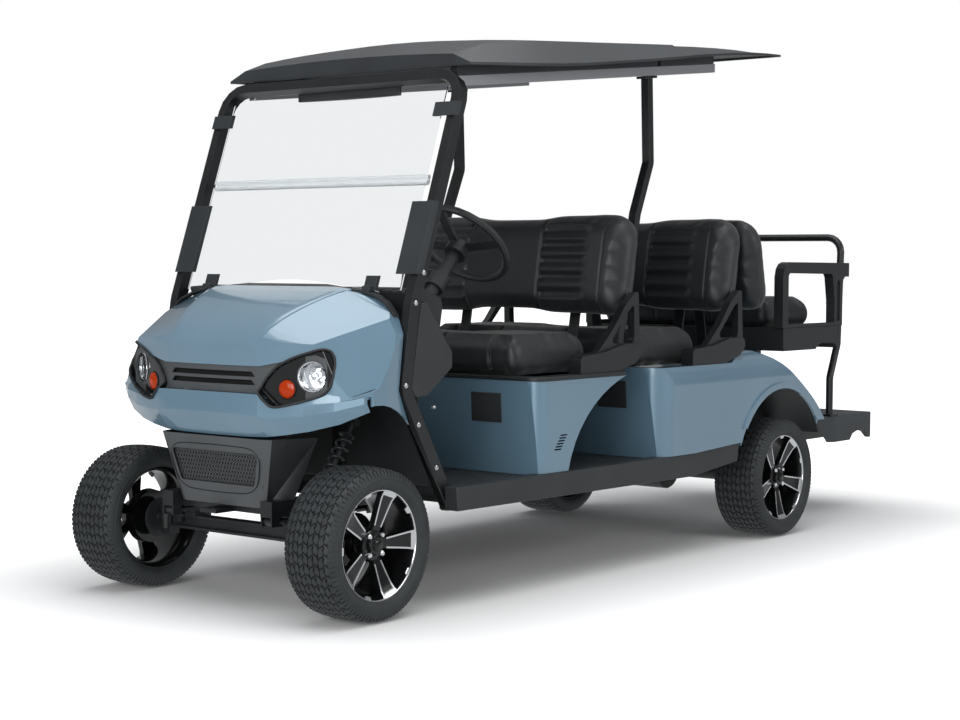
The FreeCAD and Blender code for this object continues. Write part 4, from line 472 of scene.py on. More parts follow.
def repeated(name, part, tree, values, look, body, sharp=32.0):
    """Runs a repeat tree on a shape and keeps the result as a plain mesh piece."""
    source = linked(name + "_one", outward(raw_mesh(name + "_one", part), False))
    modifier = source.modifiers.new("repeat", "NODES")
    modifier.node_group = tree
    sockets = {s.name: s.identifier for s in tree.interface.items_tree if s.in_out == "INPUT"}
    for key, value in {**values, "Material": look}.items():
        modifier[sockets[key]] = value
    result = baked(source)
    result.name = name
    bpy.data.objects.remove(source)
    settled(name, result, look, body, sharp, False)


# ------ tyres and wheels
FRONT_Y, REAR_Y, HUB_Z = -1.632, 0.772, 0.238
# Where each hub is across and along the cart, and the side that its wheel faces.
WHEELS = {"front_left": (0.4955, FRONT_Y, 1), "front_right": (-0.4955, FRONT_Y, -1),
          "rear_left": (0.5285, REAR_Y, 1), "rear_right": (-0.5285, REAR_Y, -1)}
TREAD_ROWS, TREAD_STEPS, TREAD_PITCH = 9, 46, 0.0203
FINE, COARSE = 96, 48
WHEEL_SLOT = {"tyre": "tyre_rubber", "wheel": "wheel_alloy"}
# Half of the tyre's section as (x, radius), from the crown's middle to the bead.
TYRE_HALF = [(0.0, 0.2325), (0.045, 0.2322), (0.072, 0.2308), (0.084, 0.2288), (0.0925, 0.2245), (0.0975, 0.2175),
             (0.101, 0.208), (0.1022, 0.198), (0.1006, 0.188), (0.0965, 0.18), (0.0915, 0.1745),
             (0.088, 0.17), (0.08, 0.166), (0.05, 0.165)]
# Painted shade between the tread lugs: a near-black ring of (x, radius) just above the carcass crown darkens the
# grooves where shade falls.
GROOVE_SHADE_RING = [(-0.0835, 0.2262), (-0.0835, 0.2302), (-0.045, 0.233), (0, 0.2334), (0.045, 0.233),
                (0.0835, 0.2302), (0.0835, 0.2262)]


def hub_of(corner):
    return (*WHEELS[corner][:2], HUB_Z)


def wheel_piece(kind, corner, suffix, part, look, sharp=32.0, copies=0):
    """A piece of a tyre or wheel; with copies, the part stands at the origin and is turned about the axle."""
    name, body, slot = f"{kind}_{corner}_{suffix}", "road_wheel_" + corner, WHEEL_SLOT[kind]
    if copies:
        return repeated(name, part, ROUND_TREE, {"Count": copies, "Axle": hub_of(corner)}, look, body, sharp)
    return piece(name, part, look, body, sharp)


def crown_radius(x):
    return 0.2378 - 1.15 * x * x / 1.6 - (0.0042 if abs(x) > 0.083 else 0.0)


def tread_lug(row):
    """One chevron block of a tread row, at the top of a wheel centred on the origin."""
    middle = (row - (TREAD_ROWS - 1) / 2) * TREAD_PITCH
    step, odd = 2 * math.pi / TREAD_STEPS, row % 2
    swing = -0.0052 if odd else 0.0052
    half, rings = TREAD_PITCH / 2 - 0.002, []
    for k in range(3):
        tip = k == 1
        a = (k / 2 - 0.5) * step * 0.82 + (0.5 * step if odd else 0) + (0.08 * step if tip else 0)
        shift = swing * (0.5 if tip else -0.5)
        ring = []
        for u in (-half, half):
            x = middle + u + shift
            turn = a + (0.3 * step if u > 0 else 0.0) * (1 if odd else -1)
            for r in (0.2305 - 0.2 * x * x, crown_radius(x)):
                squeeze = 1.0 if r < crown_radius(x) else 0.93
                ring.append((middle + (x - middle) * squeeze, r * math.sin(turn), r * math.cos(turn)))
        rings.append([ring[0], ring[1], ring[3], ring[2]])
    return loft(rings)


def shoulder_rib(side):
    """A short rib where the tread turns into the sidewall."""
    a = math.pi / TREAD_STEPS * 0.33
    rings = []
    for x, low, high in ((0.0905, 0.224, 0.2312), (0.0966, 0.216, 0.2232), (0.1001, 0.208, 0.2128)):
        rings.append([(side * x - side * inset, r * math.sin(turn), r * math.cos(turn))
                      for inset, r, turn in ((0.003, low, -a), (0, high, -a), (0, high, a), (0.003, low, a))])
    return loft(rings)


def make_tyre(corner):
    centre = hub_of(corner)
    profile = TYRE_HALF + [(-u, r) for u, r in reversed(TYRE_HALF[1:])]
    carcass = wheel_piece("tyre", corner, "carcass", spun(profile, FINE, centre), TYRE, 60)
    lugs = merged([tread_lug(row) for row in range(TREAD_ROWS)])
    wheel_piece("tyre", corner, "tread", lugs, TYRE, 25, TREAD_STEPS)
    ribs = merged([shoulder_rib(1), shoulder_rib(-1)])
    wheel_piece("tyre", corner, "shoulder_ribs", ribs, TYRE, 25, TREAD_STEPS * 2)
    # Painted shade: the near-black ring at the foot of the tread grooves.
    wheel_piece("tyre", corner, "groove_floor", spun(GROOVE_SHADE_RING, FINE, centre), SHADE, 60)
    lines = merged([spun([(s * 0.1008, 0.2068), (s * 0.1024, 0.206), (s * 0.1024, 0.2044), (s * 0.1008, 0.2036)],
                         FINE, centre) for s in (1, -1)])
    wheel_piece("tyre", corner, "sidewall_line", lines, TYRE)
    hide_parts("tyre_" + corner)


def turned_about_x(part, degrees):
    """A part turned about the X axis through the origin."""
    c, s = math.cos(math.radians(degrees)), math.sin(math.radians(degrees))
    return [(x, y * c - z * s, y * s + z * c) for x, y, z in part[0]], part[1]


def radial_bar(side, stations):
    """A bar that runs outwards; stations are (radius, middle, half width, low x, high x)."""
    return loft([[(side * x, off + s * half, r) for x, s in ((low, -1), (high, -1), (high, 1), (low, 1))]
                 for r, off, half, low, high in stations])


# Spoke stations: radius, half width, back face, front face.
SPOKE = ((0.034, 0.015, 0.034, 0.056), (0.058, 0.0168, 0.04, 0.0605), (0.105, 0.0222, 0.047, 0.067),
         (0.142, 0.0268, 0.054, 0.0735), (0.1655, 0.031, 0.062, 0.083))
FIRST_SPOKE = {"front_left": -90, "front_right": -78, "rear_left": -106, "rear_right": -60}
EDGE_WIDE, SPOKES, NUTS = 0.0052, 5, 4
# Turned parts of a wheel as (distance outwards, radius).
RIM = [(0.0862, 0.1728), (0.085, 0.1672), (0.079, 0.1655), (0.064, 0.16), (0.03, 0.156), (-0.05, 0.152),
       (-0.076, 0.16), (-0.0872, 0.169), (-0.0872, 0.1728), (-0.078, 0.168), (-0.07, 0.1655),
       (0.07, 0.1662), (0.079, 0.1695)]
HUB = [(0.01, 0.0), (0.01, 0.046), (0.052, 0.049), (0.058, 0.047), (0.0605, 0.042), (0.0605, 0.0)]
DRUM = [(-0.052, 0.016), (-0.052, 0.088), (-0.02, 0.092), (-0.012, 0.08), (-0.004, 0.06), (0.012, 0.05),
        (0.012, 0.016)]
CAP = [(0.056, 0.0), (0.056, 0.0335), (0.07, 0.0325), (0.0745, 0.03), (0.076, 0.024), (0.076, 0.0205),
       (0.0825, 0.0185), (0.0845, 0.014), (0.085, 0.0)]
LIP = [(0.08, 0.166), (0.085, 0.1664), (0.0868, 0.1676), (0.0878, 0.17), (0.0878, 0.1726), (0.0862, 0.1736),
       (0.08, 0.17)]
# Machined faces of one spoke's outer end and of the rim between two spokes, as stations of radial_bar.
SPOKE_END = [(0.153, 0, 0.0292, 0.0762, 0.0795), (0.159, 0, 0.0302, 0.0782, 0.0832),
             (0.1688, 0, 0.0318, 0.083, 0.0872)]
RIM_TAB = [(0.1575, 0, 0.0095, 0.079, 0.0838), (0.161, 0, 0.012, 0.081, 0.0858),
           (0.1688, 0, 0.013, 0.083, 0.087)]


def make_wheel(corner):
    side, start = WHEELS[corner][2], FIRST_SPOKE[corner]

    def lathe(profile, sides):
        return spun([(side * u, r) for u, r in profile], sides, hub_of(corner))

    barrel = wheel_piece("wheel", corner, "barrel", merged([lathe(RIM, FINE), lathe(HUB, COARSE), lathe(DRUM, COARSE)]),
                         GLOSS, 35)
    wheel_piece("wheel", corner, "cap", lathe(CAP, 8), GLOSS, 25)
    # Black spokes whose long edges, outer end and the rim between them are machined bright.
    spoke = radial_bar(side, [(r, 0, half, low, high) for r, half, low, high in SPOKE])
    wheel_piece("wheel", corner, "spokes", turned_about_x(spoke, start), GLOSS, copies=SPOKES)
    bright = [radial_bar(side, [(r, sway * (half - EDGE_WIDE / 2), EDGE_WIDE / 2, high - 0.001, high + 0.0017)
                                for r, half, low, high in SPOKE[1:]]) for sway in (-1, 1)]
    bright.append(radial_bar(side, SPOKE_END))
    bright = [turned_about_x(part, start) for part in bright]
    bright.append(turned_about_x(radial_bar(side, RIM_TAB), start + 180 / SPOKES))
    wheel_piece("wheel", corner, "machined_edges", merged(bright), FACE, copies=SPOKES)
    wheel_piece("wheel", corner, "machined_lip", lathe(LIP, FINE), FACE)
    nut = pipe([(side * x, 0, 0.04) for x in (0.056, 0.072, 0.0755)], [0.0092, 0.0092, 0.0066], 6)
    wheel_piece("wheel", corner, "nuts", turned_about_x(nut, 45), CHROME, copies=NUTS)
    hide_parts("wheel_" + corner)


for corner in WHEELS:
    make_tyre(corner)
    make_wheel(corner)


# ------ cushions
VOXEL, CLOTH_FRAMES, SMOOTH_ROUNDS = 0.0092, 20, 3


def within(t):
    """A number held between 0 and 1."""
    return max(0.0, min(1.0, t))


def puffed(name, part, pressure, cap):
    """Cloth step: a closed skin blown up from inside, with a cap on how far it may move, then smoothed."""
    obj = linked(name, outward(raw_mesh(name, part)))
    remesh = obj.modifiers.new("even", "REMESH")
    remesh.mode, remesh.voxel_size = "VOXEL", VOXEL
    even = baked(obj)
    obj.modifiers.clear()
    obj.data = even
    points = [v.co.copy() for v in even.vertices]
    settings = obj.modifiers.new("cloth", "CLOTH").settings
    settings.use_pressure, settings.uniform_pressure_force = True, pressure
    settings.effector_weights.gravity = 0.0
    settings.quality, settings.mass = 5, 0.4
    settings.tension_stiffness = settings.compression_stiffness = 18
    settings.bending_stiffness = 0.6
    for frame_number in range(1, CLOTH_FRAMES + 1):
        SCENE.frame_set(frame_number)
    steps = [v.co - home for v, home in zip(baked(obj).vertices, points)]
    points = [home + step * min(1.0, cap / max(step.length, 1e-9)) for home, step in zip(points, steps)]
    obj.modifiers.clear()
    SCENE.frame_set(1)
    faces = [tuple(p.vertices) for p in even.polygons]
    bpy.data.objects.remove(obj)
    return smoothed_mesh(points, faces)


def smoothed_mesh(points, faces):
    """Laplacian smoothing, then one subdivision, as a mesh."""
    mesh = raw_mesh("soft", (points, faces))
    bm = bmesh.new()
    bm.from_mesh(mesh)
    for _ in range(SMOOTH_ROUNDS):
        bmesh.ops.smooth_vert(bm, verts=bm.verts, factor=0.5, use_axis_x=True, use_axis_y=True, use_axis_z=True)
    bm.to_mesh(mesh)
    bm.free()
    obj = linked("soft", mesh)
    finer = obj.modifiers.new("sub", "SUBSURF")
    finer.levels = finer.render_levels = 1
    fine = baked(obj)
    bpy.data.objects.remove(obj)
    return fine


def groove(distance, half, depth):
    """Depth of a sewn channel at a distance from its line."""
    t = abs(distance) / half
    return depth * (1 - t * t) ** 2 if t < 1 else 0.0


def box_of(name):
    return [Vector(c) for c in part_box(name)]


def chamfered(lo, hi, r):
    """A closed box with cut corners, as rings along X."""
    rings = []
    c = r * 0.7
    for x, inset in ((lo.x, r), (lo.x + r * 0.4, r * 0.35), (lo.x + r, 0), (hi.x - r, 0),
                     (hi.x - r * 0.4, r * 0.35), (hi.x, r)):
        y0, y1, z0, z1 = lo.y + inset, hi.y - inset, lo.z + inset * 0.4, hi.z - inset
        rings.append([(x, y0 + c, z0), (x, y1 - c, z0), (x, y1, z0 + c), (x, y1, z1 - c), (x, y1 - c, z1),
                      (x, y0 + c, z1), (x, y0, z1 - c), (x, y0, z0 + c)])
    return loft(rings)


# Seat places: height, place and spread of the dome in each half and of the roll at the front edge,
# and half width and depth of the sewn channels in the top and beside the bolsters.
DOME, FRONT_ROLL = (0.021, 0.28, 0.12), (0.008, 0.16, 0.12)
TOP_CHANNEL, BOLSTER_AT, BOLSTER_CHANNEL = (0.007, 0.007), 0.375, (0.009, 0.01)


def hill(t, high, at, spread):
    """A smooth hill over a line."""
    return high * math.exp(-((t - at) / spread) ** 2)


def cushion_mesh(lo, hi, seams, bolsters=True):
    """A crowned bench cushion: two domed places, a lower middle and a bolster at each end."""
    shrink = Vector((0.012, 0.012, 0.008))
    mesh = puffed("cushion_blank", chamfered(lo + shrink, hi - shrink, 0.034), 4.0, 0.024)
    half = (hi.x - lo.x) / 2
    for v in mesh.vertices:
        p = v.co
        up = within((p.z - (hi.z - 0.075)) / 0.06)
        wide, back = abs(p.x), (p.y - lo.y) / (hi.y - lo.y)
        dome = hill(wide, *DOME) * hill(back, 1, 0.5, 0.42)
        p.z += up * (dome + hill(back, *FRONT_ROLL) - 0.01)
        deep = sum(groove(wide - seam, *TOP_CHANNEL) for seam in seams)
        if bolsters:
            line = BOLSTER_AT + 0.055 * max(0.0, back - 0.25) ** 1.5
            deep += groove(wide - line, *BOLSTER_CHANNEL)
            p.z += up * 0.008 * within((wide - line) / 0.03) * (1 - within((wide - half + 0.04) / 0.04))
        if deep and p.z > lo.z + 0.02:
            p.z -= deep * up
            if back < 0.12:
                p.y += deep * (1 - up)
        p.z = max(lo.z + 0.0003, min(p.z, hi.z + 0.012))
        p.x = max(lo.x - 0.004, min(hi.x + 0.004, p.x))
        p.y = max(lo.y - 0.006, min(hi.y + 0.002, p.y))
    return mesh


def make_cushion(name, mesh, move):
    mesh = mesh.copy()
    mesh.transform(Matrix.Translation(move))
    obj = settled(name + "_cover", mesh, VINYL, BODY_OF[name], 70, False)
    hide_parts(name)


# Seat backs: how far the cover reaches past the solid at the ends and above,
# and the hip restraints' top and the room beside them.
BACK_OVER, BACK_RISE, RESTRAINT_TOP, RESTRAINT_ROOM = 0.03, 0.012, 1.0, 0.015
# Sewn lines of a back: the cross ribs' depths below its top, and the upright seams' distances from the middle.
RIB_LINES = (0.062, 0.117, 0.174, 0.232, 0.292)
RIB_START, RIB_END, ROLL_SEAM = 0.172, 0.392, 0.452
RIB_CHANNEL, START_CHANNEL, ROLL_CHANNEL, PIPING = (0.026, 0.013), (0.007, 0.008), (0.006, 0.004), (0.005, 0.004)


def corner_drop(x, half, radius):
    """How far a rounded corner has fallen at x from the middle."""
    past = max(0.0, abs(x) - (half - radius))
    return radius - math.sqrt(max(radius * radius - past * past, 0.0))


def back_mesh(lo, hi, lean, thick):
    """A leaning bench back: ribbed panels on both sides of a plain, lower middle, with rolled ends."""
    half, height = (hi.x - lo.x) / 2 + BACK_OVER, hi.z - lo.z
    steps = (0.0, 0.005, 0.014, 0.03, 0.052, 0.085, 0.14, 0.24, 0.36, 0.46)
    stations = [-half + d for d in steps] + [half - d for d in reversed(steps)]
    inset, rings = 0.01, []
    for x in stations:
        z0 = lo.z + inset + corner_drop(x, half, 0.075)
        z1 = hi.z - 0.004 + BACK_RISE - corner_drop(x, half, 0.115)
        end = max(0.0, 1 - (half - abs(x)) / 0.052)
        deep = (thick - 2 * inset) * (1 - 0.62 * end * end)
        ring = []
        for a in turns(20):
            u, w = math.cos(a), math.sin(a)
            u, w = math.copysign(abs(u) ** 0.6, u), math.copysign(abs(w) ** 0.5, w)
            z = (z0 + z1) / 2 + w * (z1 - z0) / 2
            ring.append((x, thick / 2 + u * deep / 2 + lean * (z - lo.z) / height, z))
        rings.append(ring)
    mesh = puffed("back_blank", loft(rings), 3.5, 0.014)
    for v in mesh.vertices:
        p = v.co
        wide, down = abs(p.x), hi.z - p.z
        front = p.y - lean * (p.z - lo.z) / height
        facing = within((thick * 0.5 - front) / (thick * 0.25))
        deep = groove(wide - RIB_START, *START_CHANNEL) + groove(wide - ROLL_SEAM, *ROLL_CHANNEL)
        ribbed = within((wide - RIB_START) / 0.012) * within((RIB_END - wide) / 0.03)
        for line in RIB_LINES:
            deep += ribbed * groove(down - line, *RIB_CHANNEL)
        dip = 1 / (1 + math.exp((wide - 0.165) / 0.022))
        p.y += deep * facing
        p.z -= dip * 0.014 * max(0.0, 1 - down / 0.1)
        p.z += dip * 0.02 * max(0.0, 1 - (height - down) / 0.1)
        room = half - RESTRAINT_ROOM * within((RESTRAINT_TOP + 0.05 - p.z) / 0.05)
        p.x = max(-room, min(room, p.x))
        p.z = max(lo.z - 0.004, min(hi.z + 0.009 + BACK_RISE, p.z))
        piping = groove(front - thick * 0.62, *PIPING) * (wide > room - 0.02)
        p.x -= math.copysign(piping, p.x)
    return mesh


SEAT_PITCH, BACK_LEAN = 0.725, 0.07


def make_seats():
    seat = cushion_mesh(*box_of("front_seat_cushion"), (0.155,))
    make_cushion("front_seat_cushion", seat, (0, 0, 0))
    make_cushion("second_seat_cushion", seat, (0, SEAT_PITCH, 0))
    make_cushion("rear_seat_cushion", cushion_mesh(*box_of("rear_seat_cushion"), (0.14,), False), (0, 0, 0))
    back = back_mesh(*box_of("front_seat_back"), BACK_LEAN, 0.15)
    for name in ("front_seat_back", "second_seat_back"):
        make_cushion(name, back, (0, box_of(name)[0].y, 0))
    lo, hi = box_of("rear_seat_back")
    rear = back_mesh(lo, hi, BACK_LEAN, 0.12)
    rear.transform(Matrix.Diagonal((1, -1, 1, 1)))
    rear.flip_normals()
    make_cushion("rear_seat_back", rear, (0, hi.y, 0))


make_seats()

# ------ carried-over panels
# Widths of rounded edges in mm, in the order of dressing.
EDGE = {"front_cowl": 2.0, "bumper_band": 2.0, "front_seat_base": 5.0, "rear_body": 5.0, "roof_front": 2.5,
        "roof_rear": 2.5, "rear_step": 5.0, "rear_seat_box": 4.0, "rear_armrests": 6.0, "hip_restraints": 4.0,
        "front_roof_hoop": 3.0, "mid_roof_struts": 3.0, "dash_panel": 4.0, "mirror": 4.0, "rocker_panels": 2.5,
        "kick_panels": 3.0, "lower_fascia": 2.0, "nose_panel": 1.5, "windscreen_fittings": 1.5, "cowl_trim": 1.0,
        "front_seat_deck": 2.5, "pedestal_covers": 1.2, "main_frame": 1.5, "steering_wheel": 2.0, "grab_hoop": 1.0,
        "seat_back_brackets": 1.0, "steering_column": 1.5, "pedals": 1.5, "roof_rails": 1.0}
# Angles, in degrees, above which shading keeps an edge sharp.
CREASED = {"front_cowl": 15.0, "bumper_band": 12.0, "lower_fascia": 62.0}
LOOK = {"nose_panel": NOSE_GREY, "lower_fascia": NOSE_GREY, "windscreen_fittings": CLAMP}
FASCIA_DEEP = 0.05


def wide_bar(size):
    return size.x > 0.5


PARTLY = {"lower_fascia": lambda size: size.y > FASCIA_DEEP, "windscreen_fittings": lambda size: not wide_bar(size)}
for name, width in EDGE.items():
    dressed(name, width, LOOK.get(name), shade=CREASED.get(name, 38.0), keep=PARTLY.get(name))
dressed("windscreen_fittings", 0.8, HINGE_BAR, suffix="hinge_bars", keep=wide_bar, replace=False)
for name in ("knuckle_left", "knuckle_right", "front_axle_beam", "rear_axle", "drive_motor", "front_springs",
             "rear_springs", "steering_gear", "tie_rod", "drag_link", "battery_block"):
    dressed(name, 0.8, corner=40)


# ------ shock absorbers with coils
SHOCK_LOW, SHOCK_TOP = Vector((0.29, FRONT_Y - 0.02, 0.274)), Vector((0.29, FRONT_Y + 0.198, 0.588))
COIL_TURNS, COIL_STEPS, COIL_R = 8.5, 204, 0.0228


def make_shocks():
    bars, coils = [], []
    way, length = (SHOCK_TOP - SHOCK_LOW).normalized(), (SHOCK_TOP - SHOCK_LOW).length
    side = Vector((1, 0, 0))
    up = way.cross(side)
    for sign in (1, -1):
        def at(d, out=Vector()):
            p = SHOCK_LOW + way * d + out
            return (sign * p.x, p.y, p.z)
        bars.append(pipe([at(0), at(length)], 0.01, 16))
        bars.append(pipe([at(0.045), at(0.05), at(0.205), at(0.21)], [0.012, 0.0165, 0.0165, 0.012], 20))
        for d in (0.06, length - 0.055):
            bars.append(pipe([at(d - 0.004), at(d), at(d + 0.003)], [0.02, 0.027, 0.027], 24))
        bars.append(block(sign * 0.278, sign * 0.302, FRONT_Y - 0.0215, FRONT_Y + 0.006, 0.2362, 0.284))
        bars.append(block(sign * 0.2453, sign * 0.304, FRONT_Y + 0.19, FRONT_Y + 0.214, 0.572, 0.596))
        path = []
        for i in range(COIL_STEPS + 1):
            t = i / COIL_STEPS
            a = 2 * math.pi * COIL_TURNS * t
            path.append(at(0.064 + (length - 0.122) * t, (side * math.cos(a) + up * math.sin(a)) * COIL_R))
        coils.append(pipe(path, 0.0042, 8))
    body = fixed("front_shock_bodies", merged(bars), CAST, 40)
    fixed("front_shock_coils", merged(coils), SPRING, 60)
    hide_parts("front_shocks")


make_shocks()


# ------ lamps
HEADLAMP_AT, HEADLAMP_R = (0.383, 0.748), 0.049
AMBER_AT, AMBER_R = (0.303, 0.708), 0.029


def turned(place, way, rings, sides=40, caps=True):
    """A surface of revolution about a way, from (distance along, radius) pairs."""
    side = way.orthogonal().normalized()
    up = way.cross(side)
    return loft([[tuple(place + way * d + (side * math.cos(a) + up * math.sin(a)) * r)
                  for a in turns(sides)] for d, r in rings], caps)


def lamp_seat(at, bow):
    """Where a lamp sits behind the bowed nose, and the way that it looks."""
    return Vector((at[0], FRONT_Y - 0.158 + 0.52 * at[0] ** 2, at[1])), Vector((bow * 0.62, -1, 0)).normalized()


def make_lamps():
    seat, r = lamp_seat(HEADLAMP_AT, 0.78), HEADLAMP_R
    shell = turned(*seat, [(-0.046, 0.03), (-0.044, 0.034), (-0.006, r), (0.008, r), (0.0095, r - 0.002),
                           (0.0095, r - 0.0042), (0.004, r - 0.0052), (-0.018, r - 0.013), (-0.032, 0.022),
                           (-0.036, 0.01)])
    bulb = turned(*seat, [(-0.036, 0.003), (-0.034, 0.012), (-0.014, 0.0125), (-0.008, 0.009), (-0.006, 0.003)], 20)
    lens = turned(*seat, [(0.0032, 0.001), (0.0032, r - 0.0056), (0.0056, r - 0.005), (0.011, r * 0.72),
                          (0.014, r * 0.36), (0.015, 0.001)])
    seat, r = lamp_seat(AMBER_AT, 0.42), AMBER_R
    glass = turned(*seat, [(-0.03, 0.001), (-0.03, r * 0.9), (0.006, r), (0.01, r * 0.94), (0.0135, r * 0.7),
                           (0.0155, r * 0.35), (0.016, 0.001)], 32)
    collar = turned(*seat, [(-0.012, r + 0.0012), (0.0085, r + 0.003), (0.01, r + 0.0015), (0.008, r - 0.0004),
                            (-0.012, r - 0.0004)], 32, False)
    bowl = fixed("headlamp_reflectors", both_sides(shell), CHROME, 24)
    fixed("headlamp_bulbs", both_sides(bulb), FACE, 40)
    fixed("headlamp_lenses", both_sides(lens), LENS, 50)
    amber = fixed("indicator_lenses", both_sides(glass), AMBER, 30)
    fixed("indicator_collars", both_sides(collar), BLACK, 40)
    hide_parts("headlamps")
    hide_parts("indicator_lamps")


make_lamps()


# ------ nose details
def front_of(*names):
    """Finds how far forward some CAD pieces reach at (x, z)."""
    meshes = [NODES[name].data for name in names]
    tree = BVHTree.FromPolygons(*merged([([v.co for v in m.vertices], [tuple(p.vertices) for p in m.polygons])
                                         for m in meshes]))

    def front(x, z):
        hit = tree.ray_cast(Vector((x, -3.0, z)), Vector((0, 1, 0)))[0]
        return hit.y if hit and hit.y < FRONT_Y + 0.05 else None
    return front


NOSE_Y = front_of("front_cowl", "nose_panel", "bumper_band")
PANEL_Y = front_of("nose_panel")


# Outline of the lamp bezel (x, z), from its inner low corner round the bottom.
BEZEL = ((0.217, 0.703), (0.245, 0.675), (0.275, 0.65), (0.344, 0.664), (0.432, 0.692), (0.455, 0.715),
         (0.463, 0.741), (0.457, 0.781), (0.449, 0.808), (0.437, 0.828), (0.422, 0.834), (0.393, 0.824),
         (0.335, 0.806), (0.275, 0.777), (0.245, 0.749), (0.224, 0.721))


def rounded_loop(points, rounds=2):
    """Corner cutting on a closed outline."""
    for _ in range(rounds):
        ahead = [*points[1:], points[0]]
        points = [(p[0] * k + q[0] * n, p[1] * k + q[1] * n)
                  for p, q in zip(points, ahead) for k, n in ((0.8, 0.2), (0.2, 0.8))]
    return points


def inside(x, z, loop):
    """Whether (x, z) lies inside an outline."""
    odd = False
    for i, (ax, az) in enumerate(loop):
        bx, bz = loop[i - 1]
        if (az > z) != (bz > z) and x < (bx - ax) * (z - az) / (bz - az) + ax:
            odd = not odd
    return odd


SHOULDER_AT, SHOULDER_SLOPE = (0.46, -1.688, 0.784), (1.45, 0.7)


def shoulder_y(x, z):
    """The cowl's sloped shoulder plane beside the lamps."""
    return SHOULDER_AT[1] + (x - SHOULDER_AT[0]) * SHOULDER_SLOPE[0] + (z - SHOULDER_AT[2]) * SHOULDER_SLOPE[1]


def well_depth():
    """The smooth floor of the lamp wells as y at (x, z), a little ahead of the nose panel."""
    known = [(x, PANEL_Y(x, 0.755)) for x in (0.205, 0.235, 0.445)]
    known += [(x, PANEL_Y(x, 0.79)) for x in (0.29, 0.32, 0.35, 0.38, 0.41)]
    known = sorted((x, y) for x, y in known if y is not None)
    slope = (known[-1][1] - known[-2][1]) / (known[-1][0] - known[-2][0])
    known.append((known[-1][0] + 0.06, known[-1][1] + 0.06 * slope * 1.1))

    def depth(x, z):
        for (ax, ay), (bx, by) in zip(known, known[1:]):
            if x <= bx or (bx, by) == known[-1]:
                return max(ay + (by - ay) * (x - ax) / (bx - ax) - 0.0012, shoulder_y(x, z) + 0.003)
    return depth


WELL_Y = well_depth()
BEZEL_LOOP = rounded_loop(BEZEL)


def bezel_front():
    """The bezel's outline as points on the painted surfaces, evened out where they step."""
    reach = (-0.01, 0, 0.01)
    line = []
    for x, z in BEZEL_LOOP:
        seen = [NOSE_Y(x + dx, z + dz) for dx in reach for dz in reach]
        front = min([y for y in seen if y is not None] + [WELL_Y(x, z) - 0.006])
        line.append(max(front, shoulder_y(x, z) - 0.0015) if x > 0.42 else front)
    for _ in range(3):
        line = [(line[i - 1] + 2 * y + line[(i + 1) % len(line)]) / 4 for i, y in enumerate(line)]
    return [(x, y - 0.0008, z) for (x, z), y in zip(BEZEL_LOOP, line)]


# The wells' floor is a grid of small squares from a low inner corner (x, z).
WELL_STEP, WELL_FROM, WELL_COLUMNS, WELL_ROWS = 0.003, (0.208, 0.644), 90, 66


def make_bezels():
    front = bezel_front()
    rim = pipe(front, 0.004, 10, True)
    skirt = loft([front, [(x, WELL_Y(x, z) + 0.0005, z) for x, z in BEZEL_LOOP]], False)
    verts, faces, index = [], [], {}
    for i in range(WELL_COLUMNS):
        for j in range(WELL_ROWS):
            at = x, z = WELL_FROM[0] + WELL_STEP * i, WELL_FROM[1] + WELL_STEP * j
            near = min(math.dist(at, p) for p in BEZEL_LOOP) <= WELL_STEP * 1.1
            lit = math.dist(at, HEADLAMP_AT) < HEADLAMP_R - 0.003 or math.dist(at, AMBER_AT) < AMBER_R - 0.003
            if (near or inside(x, z, BEZEL_LOOP)) and not lit:
                index[i, j] = len(verts)
                verts.append((x, WELL_Y(x, z), z))
    for i, j in index:
        corners = [index.get(k) for k in ((i, j), (i + 1, j), (i + 1, j + 1), (i, j + 1))]
        if None not in corners:
            faces.append(tuple(corners))
    wells = raw_mesh("lamp_bezel_wells", both_sides((verts, faces), skirt))
    settled("lamp_bezel_wells", wells, GLOSS, "chassis", 80, False)
    fixed("lamp_bezel_rims", both_sides(rim), BLACK, 60)


# Painted strip that closes the joint between cowl and band beside the lamps: x, y at its foot, y at its top.
GAP_STRIP = ((0.345, -1.765, -1.747), (0.375, -1.756, -1.7385), (0.398, -1.746, -1.73),
             (0.42, -1.737, -1.724), (0.44, -1.728, -1.718), (0.46, -1.719, -1.712),
             (0.484, -1.7055, -1.701))


def make_gap_strips():
    strip = loft([[(x, foot, 0.658), (x, top, 0.702), (x, top + 0.002, 0.702), (x, foot + 0.002, 0.658)]
                  for x, foot, top in GAP_STRIP])
    fixed("cowl_gap_strips", both_sides(strip), PAINT, 40)


def cut_lamp_places():
    """Cuts the bezels' outline out of the painted pieces that it crosses."""
    plug = loft([[(x, -1.9, z) for x, z in BEZEL_LOOP], [(x, WELL_Y(x, z) + 0.012, z) for x, z in BEZEL_LOOP]])
    cutter = linked("lamp_places", outward(raw_mesh("lamp_places", both_sides(plug)), False))
    for name in ("front_cowl_skin", "bumper_band_skin", "cowl_gap_strips"):
        obj = bpy.data.objects[name]
        cut = obj.modifiers.new("lamp_places", "BOOLEAN")
        cut.object, cut.operation, cut.solver = cutter, "DIFFERENCE", "EXACT"
        obj.modifiers.move(len(obj.modifiers) - 1, 0)
        shaped = baked(obj)
        obj.modifiers.clear()
        old, obj.data = obj.data, shaped
        bpy.data.meshes.remove(old)
    bpy.data.objects.remove(cutter)


FASCIA_TOP, FASCIA_LEAN = 0.548, 0.155


def fascia_y(z):
    """The leaning front of the lower fascia."""
    return FRONT_Y - 0.146 + (FASCIA_TOP - z) * FASCIA_LEAN


MESH_ROWS, MESH_CELLS, MESH_CELL, MESH_LOW = 5, 30, 0.01307, 0.3965
NOSE_BACK = -1.757


